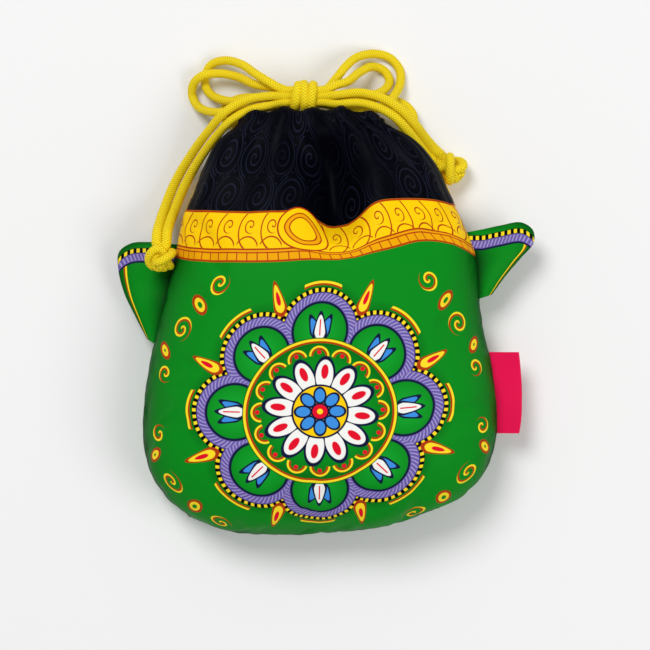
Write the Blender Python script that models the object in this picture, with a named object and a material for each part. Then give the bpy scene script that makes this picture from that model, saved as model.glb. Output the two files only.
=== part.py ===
"""Kinchaku drawstring pouch, lying on its back, drawn shut, with its two cords tied in a bow.

Two padded cloth panels are sewn together along the sides and the bottom. Each panel's top edge is
folded inwards and stitched down as a channel. Two cords run round through both channels, one with
its ends at the left slit and one at the right, so pulling them apart gathers the mouth.

+X is the pouch's right as the picture shows it, +Y points to its mouth and +Z is up, away from the
table. The origin is on the flat patch of the back panel that the pouch lies on. Sizes are in metres.
"""

import math

import bmesh
import bpy
import numpy as np
from mathutils import Vector
from mathutils.geometry import delaunay_2d_cdt

# Body, as it lies
BODY_WIDTH = 0.1296
BODY_BOTTOM_Y = -0.0674
SEAM_HEIGHT = 0.013
SEAM_GAP = 0.0003
FRONT_CROWN = 0.030
BACK_CROWN = 0.0165
PADDED_CLOTH = 0.0020
SECTION_FULLNESS = 2.4

# Mouth and the cord channel in each hem
CORD_DIAMETER = 0.0032
CHANNEL_CLEARANCE = 0.0004
HEM_CLOTH = 0.0009
FOLD_RADIUS = CORD_DIAMETER / 2 + CHANNEL_CLEARANCE + HEM_CLOTH
MOUTH_SLOT = 0.0081
MOUTH_Y = 0.0817
MOUTH_CORNER_DROP = 0.0025
CORD_PITCH = CORD_DIAMETER + CHANNEL_CLEARANCE
FLAP_RUN = CORD_PITCH + CORD_DIAMETER / 2 + CHANNEL_CLEARANCE
FLAP_TURN = 0.0036
FLAP_SHARE = 0.46
SLIT_RISE = 0.0068
MOUTH_FULLNESS = 5.0

# Gathers
PLEATS = 5
FRONT_PLEAT = 0.0022
BACK_PLEAT = 0.0016
HEM_PLEAT_INWARD = 0.0005
PLEAT_REACH = 0.052

# The deep fold that the drawn mouth leaves down the front
FOLD_DEPTH = 0.0145
FOLD_WIDTH = 0.0085
FOLD_TOP = (0.0022, 0.0680)
FOLD_TIP = (0.0075, 0.046)
FOLD_SAG = 0.0055

# Outline of the side seam: share of the height from corner to mouth, x as a share of half the width
LEFT_OUTLINE = (
    (0.0, -0.735), (0.056, -0.877), (0.133, -0.972), (0.224, -1.0), (0.378, -0.972), (0.505, -0.910),
    (0.603, -0.855), (0.700, -0.812), (0.781, -0.775), (0.848, -0.698), (0.911, -0.616),
    (0.964, -0.520), (1.0, -0.410),
)
RIGHT_OUTLINE = (
    (0.0, 0.679), (0.050, 0.849), (0.111, 0.949), (0.203, 1.0), (0.295, 0.995), (0.387, 0.966),
    (0.479, 0.920), (0.571, 0.898), (0.676, 0.880), (0.750, 0.818), (0.834, 0.735), (0.887, 0.674),
    (0.939, 0.577), (0.973, 0.478), (1.0, 0.345),
)
# Bottom edge between its corners: share across, height over the lowest point
BOTTOM_OUTLINE = (
    (-1.0, 0.0064), (-0.72, 0.0014), (-0.40, 0.0), (-0.04, 0.0004), (0.36, 0.0014), (0.68, 0.0044),
    (1.0, 0.0099),
)

# Front height above the seam down the middle: share of the height from bottom to mouth, share of the crown
FRONT_PROFILE = ((0.26, 1.0), (0.54, 1.0), (0.66, 0.955), (0.77, 0.83), (0.86, 0.61), (0.93, 0.42), (1.0, 0.345))
BACK_PROFILE = ((0.26, 1.0), (0.70, 1.0), (0.80, 0.92), (0.88, 0.78), (0.94, 0.67), (1.0, 0.627))
BOTTOM_SHARE = 0.26

# Printed fields on the flat cloth, measured up the middle of a panel from the bottom seam
BAND_LOW = 0.1165
BAND_HIGH = 0.1378
PLAQUE_RADIUS = 0.0105
PLAQUE_AT = (-0.0085, 0.1270)
ROSETTE_AT = (0.0, 0.0620)
ROSETTE_RADIUS = 0.041
ROSETTE_LOBES = 12

HEM_GAP = 0.0009

# Ears, sewn into the side seams, and the folded ribbon label. An ear's outline gives how far each
# point stands out beyond half the body's width, and its height
EAR_CLOTH = 0.0050
EAR_EDGE = 0.0014
EAR_HOLLOW = 0.0016
SEW_GAP = 0.0003
RIGHT_EAR_ROOT = (0.0185, 0.0430)
RIGHT_EAR_OUTLINE = (
    (-0.0053, 0.0442), (0.0011, 0.0456), (0.0087, 0.0467), (0.0130, 0.0438), (0.0132, 0.0392),
    (0.0084, 0.0335), (0.0029, 0.0270), (-0.0020, 0.0203),
)
RIGHT_EAR_TIP_RISE = 0.001
LEFT_EAR_ROOT = (0.0020, 0.0385)
LEFT_EAR_OUTLINE = (
    (-0.0073, 0.0393), (-0.0018, 0.0397), (0.0047, 0.0392), (0.0091, 0.0360), (0.0094, 0.0300),
    (0.0074, 0.0215), (0.0032, 0.0125), (-0.0012, 0.0040),
)
LEFT_EAR_TIP_RISE = -0.004
LABEL_SPAN = (-0.0304, -0.0007)
LABEL_WIDTH = 0.0100
LABEL_RIBBON = 0.0005
LABEL_FOLD_GAP = 0.0004

# Knots
BOW_AT = (-0.0059, 0.0925, 0.0130)
BOW_SIZE = (0.0102, 0.0108, 0.0112)
END_KNOT_SIZE = (0.0108, 0.0116)
LEFT_END_KNOT_AT = (-0.0575, 0.0328, 0.0226)
RIGHT_END_KNOT_AT = (0.0483, 0.0662, 0.0058)
KNOT_GAP = 0.0005

# Cord routes, chosen by hand. Each drawcord leaves the bow, turns into the hem at its own side, goes
# once round the mouth through both channels and comes back to the bow.
CHANNEL_FRONT_Z = SEAM_HEIGHT + MOUTH_SLOT / 2 + HEM_PLEAT_INWARD + FOLD_RADIUS
CHANNEL_BACK_Z = 2 * SEAM_HEIGHT - CHANNEL_FRONT_Z
UPPER_ROW_Y = MOUTH_Y
LOWER_ROW_Y = MOUTH_Y - CORD_PITCH
LEFT_DRAWCORD = (
    (-0.0115, 0.0893, 0.0094), (-0.0180, 0.0893, 0.0092), (-0.0250, 0.0890, 0.0093),
    (-0.0302, 0.0876, 0.0102), (-0.0326, 0.0848, 0.0122), (-0.0308, 0.0823, 0.0142),
    (-0.0266, UPPER_ROW_Y, 0.0150), (-0.0226, UPPER_ROW_Y, 0.0174),
    (-0.0170, UPPER_ROW_Y, CHANNEL_FRONT_Z), (-0.0020, UPPER_ROW_Y, CHANNEL_FRONT_Z),
    (0.0125, UPPER_ROW_Y, CHANNEL_FRONT_Z), (0.0163, UPPER_ROW_Y, 0.0192),
    (0.0188, UPPER_ROW_Y, 0.0164), (0.0194, UPPER_ROW_Y, SEAM_HEIGHT), (0.0188, UPPER_ROW_Y, 0.0096),
    (0.0163, UPPER_ROW_Y, 0.0068), (0.0125, UPPER_ROW_Y, CHANNEL_BACK_Z),
    (-0.0020, UPPER_ROW_Y, CHANNEL_BACK_Z), (-0.0170, UPPER_ROW_Y, CHANNEL_BACK_Z),
    (-0.0208, UPPER_ROW_Y, 0.0070), (-0.0237, UPPER_ROW_Y, 0.0094), (-0.0266, UPPER_ROW_Y, 0.0109),
    (-0.0308, 0.0822, 0.0098), (-0.0350, 0.0850, 0.0072), (-0.0352, 0.0893, 0.0054), (-0.0305, 0.0926, 0.0050),
    (-0.0220, 0.0931, 0.0068), (-0.0165, 0.0928, 0.0088), (-0.0115, 0.0928, 0.0094),
)
RIGHT_DRAWCORD = (
    (-0.0003, 0.0893, 0.0094), (0.0080, 0.0895, 0.0088), (0.0180, 0.0893, 0.0086),
    (0.0258, 0.0877, 0.0092), (0.0306, 0.0837, 0.0112), (0.0300, 0.0797, 0.0138),
    (0.0256, 0.0782, 0.0150), (0.0210, LOWER_ROW_Y, 0.0166), (0.0172, LOWER_ROW_Y, 0.0192),
    (0.0130, LOWER_ROW_Y, CHANNEL_FRONT_Z), (-0.0020, LOWER_ROW_Y, CHANNEL_FRONT_Z),
    (-0.0165, LOWER_ROW_Y, CHANNEL_FRONT_Z), (-0.0203, LOWER_ROW_Y, 0.0192),
    (-0.0228, LOWER_ROW_Y, 0.0164), (-0.0234, LOWER_ROW_Y, SEAM_HEIGHT), (-0.0228, LOWER_ROW_Y, 0.0096),
    (-0.0203, LOWER_ROW_Y, 0.0068), (-0.0165, LOWER_ROW_Y, CHANNEL_BACK_Z),
    (-0.0020, LOWER_ROW_Y, CHANNEL_BACK_Z), (0.0130, LOWER_ROW_Y, CHANNEL_BACK_Z),
    (0.0174, LOWER_ROW_Y, 0.0066), (0.0214, LOWER_ROW_Y, 0.0092), (0.0262, 0.0782, 0.0108),
    (0.0314, 0.0798, 0.0096), (0.0346, 0.0842, 0.0066), (0.0328, 0.0894, 0.0038),
    (0.0262, 0.0927, 0.0034), (0.0160, 0.0932, 0.0056), (0.0060, 0.0929, 0.0086),
    (-0.0003, 0.0928, 0.0094),
)
LEFT_LOOP_OUTER = (
    (-0.0115, 0.0962, 0.0165), (-0.0170, 0.0971, 0.0163), (-0.0225, 0.1003, 0.0142),
    (-0.0290, 0.1050, 0.0095), (-0.0355, 0.1069, 0.0050), (-0.0403, 0.1056, 0.0024),
    (-0.0424, 0.1022, 0.0019), (-0.0426, 0.0985, 0.0022), (-0.0412, 0.0953, 0.0040),
    (-0.0378, 0.0927, 0.0078), (-0.0325, 0.0912, 0.0118), (-0.0240, 0.0920, 0.0134),
    (-0.0170, 0.0929, 0.0132), (-0.0115, 0.0928, 0.0130),
)
LEFT_LOOP_INNER = (
    (-0.0115, 0.0962, 0.0130), (-0.0175, 0.0963, 0.0122), (-0.0240, 0.0976, 0.0100),
    (-0.0305, 0.1008, 0.0060), (-0.0372, 0.1020, 0.0060), (-0.0432, 0.1012, 0.0064),
    (-0.0468, 0.0984, 0.0040), (-0.0474, 0.0944, 0.0022), (-0.0456, 0.0905, 0.0044),
    (-0.0415, 0.0878, 0.0096), (-0.0360, 0.0868, 0.0146), (-0.0300, 0.0872, 0.0162),
    (-0.0230, 0.0886, 0.0148), (-0.0170, 0.0893, 0.0133), (-0.0115, 0.0893, 0.0130),
)
RIGHT_LOOP_OUTER = (
    (-0.0003, 0.0962, 0.0130), (0.0022, 0.0966, 0.0126), (0.0055, 0.0992, 0.0114), (0.0092, 0.1040, 0.0090),
    (0.0135, 0.1079, 0.0060), (0.0200, 0.1096, 0.0030), (0.0258, 0.1082, 0.0019),
    (0.0294, 0.1040, 0.0019), (0.0298, 0.0995, 0.0027), (0.0284, 0.0955, 0.0058),
    (0.0258, 0.0918, 0.0100), (0.0224, 0.0890, 0.0132), (0.0165, 0.0878, 0.0146),
    (0.0080, 0.0887, 0.0136), (-0.0003, 0.0893, 0.0130),
)
RIGHT_LOOP_INNER = (
    (-0.0003, 0.0962, 0.0165), (0.0022, 0.0963, 0.0164), (0.0056, 0.0968, 0.0153), (0.0102, 0.0984, 0.0128),
    (0.0145, 0.1022, 0.0082), (0.0196, 0.1048, 0.0034), (0.0238, 0.1034, 0.0019),
    (0.0256, 0.0998, 0.0024), (0.0240, 0.0962, 0.0062), (0.0200, 0.0938, 0.0106),
    (0.0145, 0.0929, 0.0126), (0.0070, 0.0928, 0.0130), (-0.0003, 0.0928, 0.0130),
)
LEFT_TAIL_INNER = (
    (-0.0115, 0.0893, 0.0165), (-0.0180, 0.0890, 0.0184), (-0.0250, 0.0874, 0.0202),
    (-0.0318, 0.0838, 0.0202), (-0.0382, 0.0776, 0.0154), (-0.0445, 0.0696, 0.0105),
    (-0.0498, 0.0604, 0.0082), (-0.0532, 0.0520, 0.0100), (-0.0549, 0.0464, 0.0150),
    (-0.0556, 0.0426, 0.0192), (-0.0557, 0.0392, 0.0208),
)
LEFT_TAIL_OUTER = (
    (-0.0115, 0.0928, 0.0165), (-0.0180, 0.0926, 0.0182), (-0.0262, 0.0911, 0.0200),
    (-0.0342, 0.0868, 0.0198), (-0.0408, 0.0800, 0.0146), (-0.0473, 0.0718, 0.0095),
    (-0.0532, 0.0621, 0.0072), (-0.0568, 0.0530, 0.0094), (-0.0585, 0.0466, 0.0150),
    (-0.0592, 0.0426, 0.0192), (-0.0593, 0.0392, 0.0208),
)
RIGHT_TAIL_INNER = (
    (-0.0003, 0.0893, 0.0165), (0.0060, 0.0896, 0.0174), (0.0140, 0.0900, 0.0188),
    (0.0215, 0.0880, 0.0196), (0.0272, 0.0846, 0.0196), (0.0318, 0.0801, 0.0170),
    (0.0358, 0.0757, 0.0116), (0.0395, 0.0718, 0.0068), (0.0424, 0.0692, 0.0058),
)
RIGHT_TAIL_OUTER = (
    (-0.0003, 0.0928, 0.0165), (0.0060, 0.0931, 0.0174), (0.0150, 0.0937, 0.0188),
    (0.0232, 0.0914, 0.0194), (0.0296, 0.0874, 0.0188), (0.0344, 0.0827, 0.0156),
    (0.0383, 0.0782, 0.0104), (0.0418, 0.0745, 0.0066), (0.0447, 0.0719, 0.0058),
)

# Mesh density
BODY_STEP = 0.0082
GATHER_COLUMNS = 30
GATHER_STEP = 0.0058
CORD_STEP = 1.6 * CORD_DIAMETER
CORD_END = 0.4 * CORD_DIAMETER

BLACK, GOLD, GREEN, PURPLE, WHITE, BLUE, RED = range(7)


def clear_scene():
    for obj in list(bpy.data.objects):
        bpy.data.objects.remove(obj, do_unlink=True)


def material(name, color, roughness, metallic=0.0):
    made = bpy.data.materials.new(name)
    made.use_nodes = True
    shader = made.node_tree.nodes["Principled BSDF"]
    shader.inputs["Base Color"].default_value = (*color, 1.0)
    shader.inputs["Roughness"].default_value = roughness
    shader.inputs["Metallic"].default_value = metallic
    made.diffuse_color = (*color, 1.0)
    return made


def link(name, mesh_or_curve):
    obj = bpy.data.objects.new(name, mesh_or_curve)
    bpy.context.scene.collection.objects.link(obj)
    return obj


def smoothstep(low, high, value):
    t = np.clip((value - low) / (high - low), 0.0, 1.0)
    return t * t * (3 - 2 * t)


def mix(a, b, share):
    return a + (b - a) * share


def smooth_curve(points, samples=16):
    """A dense centripetal Catmull-Rom curve through the points, as rows."""
    points = np.array(points, float)
    ends = (2 * points[0] - points[1], 2 * points[-1] - points[-2])
    points = np.vstack([ends[0], points, ends[1]])
    dense = []
    for a, b, c, d in zip(points, points[1:], points[2:], points[3:], strict=False):
        times = np.cumsum([0.0, *(math.sqrt(max(np.linalg.norm(y - x), 1e-9)) for x, y in ((a, b), (b, c), (c, d)))])
        for t in np.linspace(times[1], times[2], samples, endpoint=False):
            near = [mix(p, q, (t - u) / (w - u)) for p, q, u, w in zip((a, b, c), (b, c, d), times, times[1:], strict=False)]
            far = [mix(near[0], near[1], (t - times[0]) / (times[2] - times[0])),
                   mix(near[1], near[2], (t - times[1]) / (times[3] - times[1]))]
            dense.append(mix(far[0], far[1], (t - times[1]) / (times[2] - times[1])))
    return np.array([*dense, points[-2]])


def spaced(line, step):
    """The line again, with points about one step apart."""
    along = np.concatenate([[0.0], np.cumsum(np.linalg.norm(np.diff(line, axis=0), axis=1))])
    at = np.linspace(0.0, along[-1], max(2, math.ceil(along[-1] / step) + 1))
    return np.stack([np.interp(at, along, line[:, k]) for k in range(line.shape[1])], axis=1)


def curve_value(points):
    """A function that reads a smooth curve's second number at its first."""
    dense = smooth_curve(points)
    return lambda at: np.interp(at, dense[:, 0], dense[:, 1])


left_share, right_share, bottom_rise = (
    curve_value(points) for points in (LEFT_OUTLINE, RIGHT_OUTLINE, BOTTOM_OUTLINE)
)


def seam_x(side, v):
    """The side seam's x at a share v of the height: side is -1 on the left and 1 on the right."""
    return (left_share(v) if side < 0 else right_share(v)) * BODY_WIDTH / 2


def mouth_y(s):
    return MOUTH_Y - MOUTH_CORNER_DROP * smoothstep(FLAP_SHARE, 1.0, np.abs(s)) ** 2


def plan(s, v):
    """Where the share s across, from -1 to 1, and v up, from 0 to 1, lie as seen from above."""
    x = mix(seam_x(-1, v), seam_x(1, v), (s + 1) / 2)
    return x, mix(BODY_BOTTOM_Y + bottom_rise(s), mouth_y(s), v)


def rounded(share, fullness):
    """The height of a superellipse's quarter, from 1 in the middle to 0 at its end."""
    return (1 - np.clip(np.abs(share), 0, 1) ** fullness) ** (1 / fullness)


def arc_share(x, z):
    """Arc length along a section, as a share of the whole, for each of its points."""
    along = np.concatenate([[0.0], np.cumsum(np.hypot(np.diff(x), np.diff(z)))])
    return along / along[-1], along[-1]


class Panel:
    """One padded cloth panel, as a map from flat cloth (p across, q up, both in metres) to its place."""

    def __init__(self, side, crown, profile, pleat):
        self.side, self.crown, self.pleat = side, crown, pleat
        self.profile = curve_value(profile)
        turn = np.linspace(-math.pi / 2, math.pi / 2, 400)
        across = np.sin(turn)
        self.across_arc, self.width = arc_share(across * BODY_WIDTH / 2, self.height(across, 0.4))
        self.across = across
        up = np.concatenate([BOTTOM_SHARE * (1 - np.cos(np.linspace(0, math.pi / 2, 200))),
                             np.linspace(BOTTOM_SHARE, 1, 200)[1:]])
        self.up_arc, self.length = arc_share(plan(0.0, up)[1], self.height(0.0, up))
        self.up = up
        self.flap_half = FLAP_SHARE * self.width / 2
        self.fold = math.pi * FOLD_RADIUS
        self.curl = math.hypot(FLAP_TURN, 2 * (FOLD_RADIUS - HEM_CLOTH))
        self.top = self.length + self.fold + FLAP_RUN + self.curl

    def middle(self, v):
        """The height over the seam down the middle of the panel."""
        rise = rounded(1 - np.clip(v / BOTTOM_SHARE, 0, 1), SECTION_FULLNESS)
        return self.crown * np.where(v < BOTTOM_SHARE, rise, self.profile(v))

    def height(self, s, v):
        edge = SLIT_RISE * smoothstep(0.88, 0.985, v)
        fullness = mix(SECTION_FULLNESS, MOUTH_FULLNESS, smoothstep(0.75, 0.97, v))
        return edge + (self.middle(v) - edge) * rounded(s, fullness)

    def wall(self, p, q):
        """The panel's outer face below its fold, without gathers."""
        v = np.interp(q / self.length, self.up_arc, self.up)
        even = np.clip(2 * p / self.width, -1, 1)
        s = mix(np.interp((even + 1) / 2, self.across_arc, self.across), even, smoothstep(0.55, 0.9, v))
        x, y = plan(s, v)
        h = self.height(s, v)
        if self.side > 0:
            dip, sag = self.valley(x, y)
            h = h - dip
            y = y - sag
        z = SEAM_HEIGHT + self.side * (SEAM_GAP / 2 + h)
        if self.side < 0:
            z = self.on_table(z)
        return np.stack(np.broadcast_arrays(x, y, z), axis=-1)

    @staticmethod
    def valley(x, y):
        """The deep fold below the mouth: how far it sinks, and how far its cloth slides down."""
        line = np.clip((y - FOLD_TIP[1]) / (FOLD_TOP[1] - FOLD_TIP[1]), -1.0, 1.5)
        middle = mix(FOLD_TIP[0], FOLD_TOP[0], line)
        across = np.exp(-(((x - middle) / FOLD_WIDTH) ** 2))
        along = smoothstep(FOLD_TIP[1] - 0.004, FOLD_TIP[1] + 0.011, y) * (1 - smoothstep(0.064, FOLD_TOP[1] + 0.003, y))
        slide = smoothstep(FOLD_TIP[1] - 0.022, FOLD_TIP[1] + 0.004, y) * (1 - smoothstep(0.058, FOLD_TOP[1], y))
        return FOLD_DEPTH * across * along, FOLD_SAG * across * slide

    @staticmethod
    def on_table(z):
        """The height with everything below the table laid flat on it."""
        soft = 0.001
        blend = (z + soft) ** 2 / (4 * soft)
        return np.where(z < -soft, 0.0, np.where(z < soft, blend, z))

    def past_fold(self, q):
        """How far the cloth turns over, runs back down, and has curled up to the wall, past the fold line."""
        past = np.maximum(q - self.length, 0.0)
        run = np.maximum(past - self.fold, 0.0)
        curl = np.clip((run - FLAP_RUN) / self.curl, 0.0, 1.0)
        return np.minimum(past / FOLD_RADIUS, math.pi), np.minimum(run, FLAP_RUN) + curl * FLAP_TURN, smoothstep(0, 1, curl)

    def base(self, p, q):
        """The outer face with its top folded inwards round the cord channel and stitched to the wall."""
        turn, back_down, curl = self.past_fold(q)
        upright = np.minimum(q, self.length)
        edge, behind = self.wall(p, upright), self.wall(p, upright - back_down)
        climb = self.side * (behind[..., 2] - edge[..., 2]) + self.pleats(p, upright - back_down)
        climb = climb + 2 * (FOLD_RADIUS - HEM_CLOTH) - HEM_GAP
        edge[..., 0] = behind[..., 0]
        edge[..., 1] += FOLD_RADIUS * np.sin(turn) - back_down
        edge[..., 2] += self.side * (curl * climb - FOLD_RADIUS * (1 - np.cos(turn)))
        return edge

    def wave(self, p):
        """The gathers' own shape across the panel, from 0 in a valley to 1 on a crest."""
        return 0.5 - 0.5 * np.cos(2 * math.pi * PLEATS * (p / self.width + 0.5))

    def pleats(self, p, q):
        return self.pleat * self.wave(p) * smoothstep(self.length - PLEAT_REACH, self.length, q)

    def gather(self, p, q):
        """How far the gathers push the cloth outwards from its base."""
        turn, _, curl = self.past_fold(q)
        over = (1 - np.cos(turn)) / 2
        return mix(mix(self.pleats(p, q), HEM_PLEAT_INWARD * self.wave(p), over), 0.0, curl)

    def thickness(self, q):
        return mix(PADDED_CLOTH, HEM_CLOTH, smoothstep(self.length - 0.040, self.length - 0.016, q))

    def surface(self, p, q, inner):
        """The panel's outer face, or the inner one, at each flat place."""
        p, q = np.asarray(p, float), np.asarray(q, float)
        step = 2e-5
        low_p, high_p = np.maximum(p - step, -self.width / 2), np.minimum(p + step, self.width / 2)
        low_q, high_q = np.maximum(q - step, 0.0), np.minimum(q + step, self.top)
        here = self.base(p, q)
        normal = np.cross(self.base(high_p, q) - self.base(low_p, q), self.base(p, high_q) - self.base(p, low_q))
        normal *= self.side / np.maximum(np.linalg.norm(normal, axis=-1, keepdims=True), 1e-15)
        over_seam = self.side * (here[..., 2:3] - SEAM_HEIGHT)
        core = np.stack([np.clip(here[..., 0], -0.025, 0.025), np.clip(here[..., 1], -0.035, 0.045)], axis=-1)
        outward = here[..., :2] - core
        outward /= np.maximum(np.linalg.norm(outward, axis=-1, keepdims=True), 1e-9)
        outward = np.concatenate([outward, np.zeros_like(over_seam)], axis=-1)
        offset = mix(outward, normal, np.clip(over_seam / 0.003, 0, 1))
        offset /= np.linalg.norm(offset, axis=-1, keepdims=True)
        placed = here + normal * self.gather(p, q)[..., None]
        if inner:
            placed = placed - offset * self.thickness(q)[..., None]
            nearest = SEAM_HEIGHT + self.side * SEAM_GAP / 2
            placed[..., 2] = self.side * np.maximum(self.side * placed[..., 2], self.side * nearest)
        if self.side < 0:
            placed[..., 2] += self.under_table(here[..., 2] + normal[..., 2] * self.gather(p, q))
        return placed

    @staticmethod
    def under_table(z):
        return np.maximum(-z, 0.0)

    def outline(self):
        """The cut edge of the flat cloth, anticlockwise from the bottom left corner."""
        half, shoulder = self.width / 2, self.length + self.fold / 4
        rows = self.rows()
        rows_side = [q for q in rows if q < shoulder - 1e-6] + [shoulder]
        rows_flap = [q for q in rows if q > shoulder + 1e-6]
        bottom = spaced(np.array([[-half, 0.0], [half, 0.0]]), BODY_STEP)[:-1]
        columns = [p for p in self.gather_columns() if abs(p) > self.flap_half + 0.001]
        shoulder_right = [p for p in reversed(columns) if self.flap_half < p < half - 1e-6]
        shoulder_left = [p for p in reversed(columns) if -half + 1e-6 < p < -self.flap_half]
        inside = [p for p in reversed(self.gather_columns()) if abs(p) < self.flap_half - 0.001]
        loop = [tuple(c) for c in bottom]
        loop += [(half, q) for q in rows_side]
        loop += [(p, shoulder) for p in shoulder_right]
        loop += [(self.flap_half, shoulder)] + [(self.flap_half, q) for q in rows_flap]
        loop += [(p, self.top) for p in inside]
        loop += [(-self.flap_half, q) for q in reversed(rows_flap)] + [(-self.flap_half, shoulder)]
        loop += [(p, shoulder) for p in shoulder_left]
        loop += [(-half, q) for q in reversed(rows_side)][:-1]
        return loop

    def rows(self):
        """Heights on the flat cloth that rows of points lie at."""
        gathers = self.length - PLEAT_REACH + 0.010
        stitch = self.length - FLAP_RUN - FLAP_TURN
        parts = [
            np.linspace(0, BAND_LOW, round(BAND_LOW / BODY_STEP) + 1)[:-1],
            np.linspace(BAND_LOW, BAND_HIGH, 4)[:-1],
            np.linspace(BAND_HIGH, stitch, max(2, round((stitch - BAND_HIGH) / GATHER_STEP)) + 1)[:-1],
            np.linspace(stitch, self.length, 3)[:-1],
            np.linspace(self.length, self.length + self.fold, 5)[:-1],
            [self.length + self.fold],
            np.linspace(self.top - self.curl, self.top, 4),
        ]
        self.gather_from = gathers
        return [float(q) for q in np.concatenate(parts)]

    def gather_columns(self):
        return [float(p) for p in np.linspace(-self.width / 2, self.width / 2, GATHER_COLUMNS + 1)]

    def inner_points(self):
        """Points on the flat cloth between its cut edges."""
        points = []
        half, shoulder = self.width / 2, self.length + self.fold / 4
        for q in self.rows()[1:-1]:
            body = q < self.gather_from
            columns = spaced(np.array([[-half, q], [half, q]]), BODY_STEP)[:, 0] if body else self.gather_columns()
            limit = half if q < shoulder - 1e-6 else self.flap_half
            points += [(float(p), q) for p in columns if abs(p) < limit - 0.0015]
        return [c for c in points if abs(c[1] - shoulder) > 1e-6 or abs(c[0]) < self.flap_half - 0.0015]


def ring(center, radius, count, lobes=0, depth=0.0):
    """A closed loop of points round a centre, with lobes that stand out by a share of its radius."""
    angles = np.linspace(0, 2 * math.pi, count, endpoint=False)
    reach = radius * (1 + depth * (np.abs(np.cos(lobes * angles / 2)) - 0.5) * 2)
    return [(center[0] + r * math.sin(a), center[1] + r * math.cos(a)) for r, a in zip(reach, angles, strict=True)]


def leaf(foot, tip, width):
    """A pointed leaf from its foot to its tip."""
    foot, tip = np.array(foot), np.array(tip)
    run = tip - foot
    side = np.array([-run[1], run[0]]) / np.linalg.norm(run) * width / 2
    shape = [foot, foot + 0.35 * run + side, foot + 0.7 * run + 0.75 * side, tip,
             foot + 0.7 * run - 0.75 * side, foot + 0.35 * run - side]
    return [tuple(c) for c in shape]


def printed_shapes():
    """The motifs on the front, from the lowest layer up: a colour and its outline on the flat cloth."""
    x, y = ROSETTE_AT
    shapes = [(PURPLE, ring(ROSETTE_AT, ROSETTE_RADIUS, 4 * ROSETTE_LOBES, ROSETTE_LOBES, 0.07))]
    shapes.append((GREEN, ring(ROSETTE_AT, 0.72 * ROSETTE_RADIUS, 24)))
    shapes.append((WHITE, ring(ROSETTE_AT, 0.52 * ROSETTE_RADIUS, 24, 8, 0.14)))
    shapes.append((BLUE, ring(ROSETTE_AT, 0.30 * ROSETTE_RADIUS, 16)))
    shapes.append((RED, ring(ROSETTE_AT, 0.15 * ROSETTE_RADIUS, 10)))
    for side in (-1, 1):
        for up in (-1, 1):
            foot = (x + side * 0.042, y + up * 0.028)
            shapes.append((GOLD, leaf(foot, (foot[0] + side * 0.016, foot[1] + up * 0.010), 0.007)))
    shapes.append((RED, ring(PLAQUE_AT, PLAQUE_RADIUS, 16)))
    shapes.append((GOLD, ring(PLAQUE_AT, 0.85 * PLAQUE_RADIUS, 16)))
    return shapes


def inside(point, loop):
    """Whether a flat point is inside a closed loop."""
    x, y = point
    odd = False
    for (ax, ay), (bx, by) in zip(loop, [*loop[1:], loop[0]], strict=True):
        if (ay > y) != (by > y) and x < (bx - ax) * (y - ay) / (by - ay) + ax:
            odd = not odd
    return odd


def color_at(point, shapes):
    found = GREEN if point[1] < BAND_LOW else GOLD if point[1] < BAND_HIGH else BLACK
    for color, loop in shapes:
        if inside(point, loop):
            found = color
    return found


def triangulated(edge, points, loops):
    """Flat points and triangles that fill the cut edge and follow every loop. The edge's points come first."""
    for loop in loops:
        corners = np.array([*loop, loop[0]])
        near = 0.4 * BODY_STEP
        crowd = spaced(corners, near)
        points = [c for c in points if np.linalg.norm(crowd - c, axis=1).min() > near]
    flat = [*edge, *points]
    joined = [(i, (i + 1) % len(edge)) for i in range(len(edge))]
    for loop in loops:
        first = len(flat)
        flat += loop
        joined += [(first + i, first + (i + 1) % len(loop)) for i in range(len(loop))]
    made = delaunay_2d_cdt([Vector(c) for c in flat], joined, [], 0, 1e-7, True)
    verts, faces, origin = made[0], made[2], made[3]
    order = {first: new for new, olds in enumerate(origin) for first in olds}
    ranked = [order[i] for i in range(len(edge))]
    rest = [i for i in range(len(verts)) if i not in set(ranked)]
    place = {old: new for new, old in enumerate([*ranked, *rest])}
    flat = [tuple(verts[i]) for i in [*ranked, *rest]]
    kept = []
    for face in faces:
        corners = [place[i] for i in face]
        middle = np.mean([flat[i] for i in corners], axis=0)
        if inside(middle, edge):
            kept.append(corners)
    return flat, kept


def build_panel(name, panel, shapes, materials):
    """A panel as one closed solid: outer face, inner face and the cut edge between them."""
    edge = panel.outline()
    points = panel.inner_points()
    body = bmesh.new()
    layers = []
    for is_inner, loops in ((False, [loop for _, loop in shapes]), (True, [])):
        flat, triangles = triangulated(edge, points, loops)
        p, q = np.array(flat).T
        verts = [body.verts.new(c) for c in panel.surface(p, q, is_inner)]
        for corners in triangles:
            forward = (panel.side > 0) != is_inner
            face = body.faces.new([verts[i] for i in (corners if forward else reversed(corners))])
            middle = np.mean([flat[i] for i in corners], axis=0)
            face.material_index = BLACK if is_inner else color_at(middle, shapes)
            face.smooth = True
        layers.append(verts[: len(edge)])
    outer, inner = layers
    for i in range(len(edge)):
        j = (i + 1) % len(edge)
        body.faces.new([outer[j], outer[i], inner[i], inner[j]])
    bmesh.ops.recalc_face_normals(body, faces=body.faces)
    mesh = bpy.data.meshes.new(name)
    body.to_mesh(mesh)
    body.free()
    for made in materials:
        mesh.materials.append(made)
    return link(name, mesh)


def height_share(side, y):
    """The share of the height from corner to mouth at which a side seam has this y."""
    low = BODY_BOTTOM_Y + bottom_rise(side)
    return (y - low) / (mouth_y(side) - low)


def seam_line(side, low, high, count, gap):
    """Points down a side seam between two heights, standing off it by a gap."""
    y = np.linspace(low, high, count)
    x = seam_x(side, height_share(side, y)) + side * gap
    return np.stack([x, y], axis=1)


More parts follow.
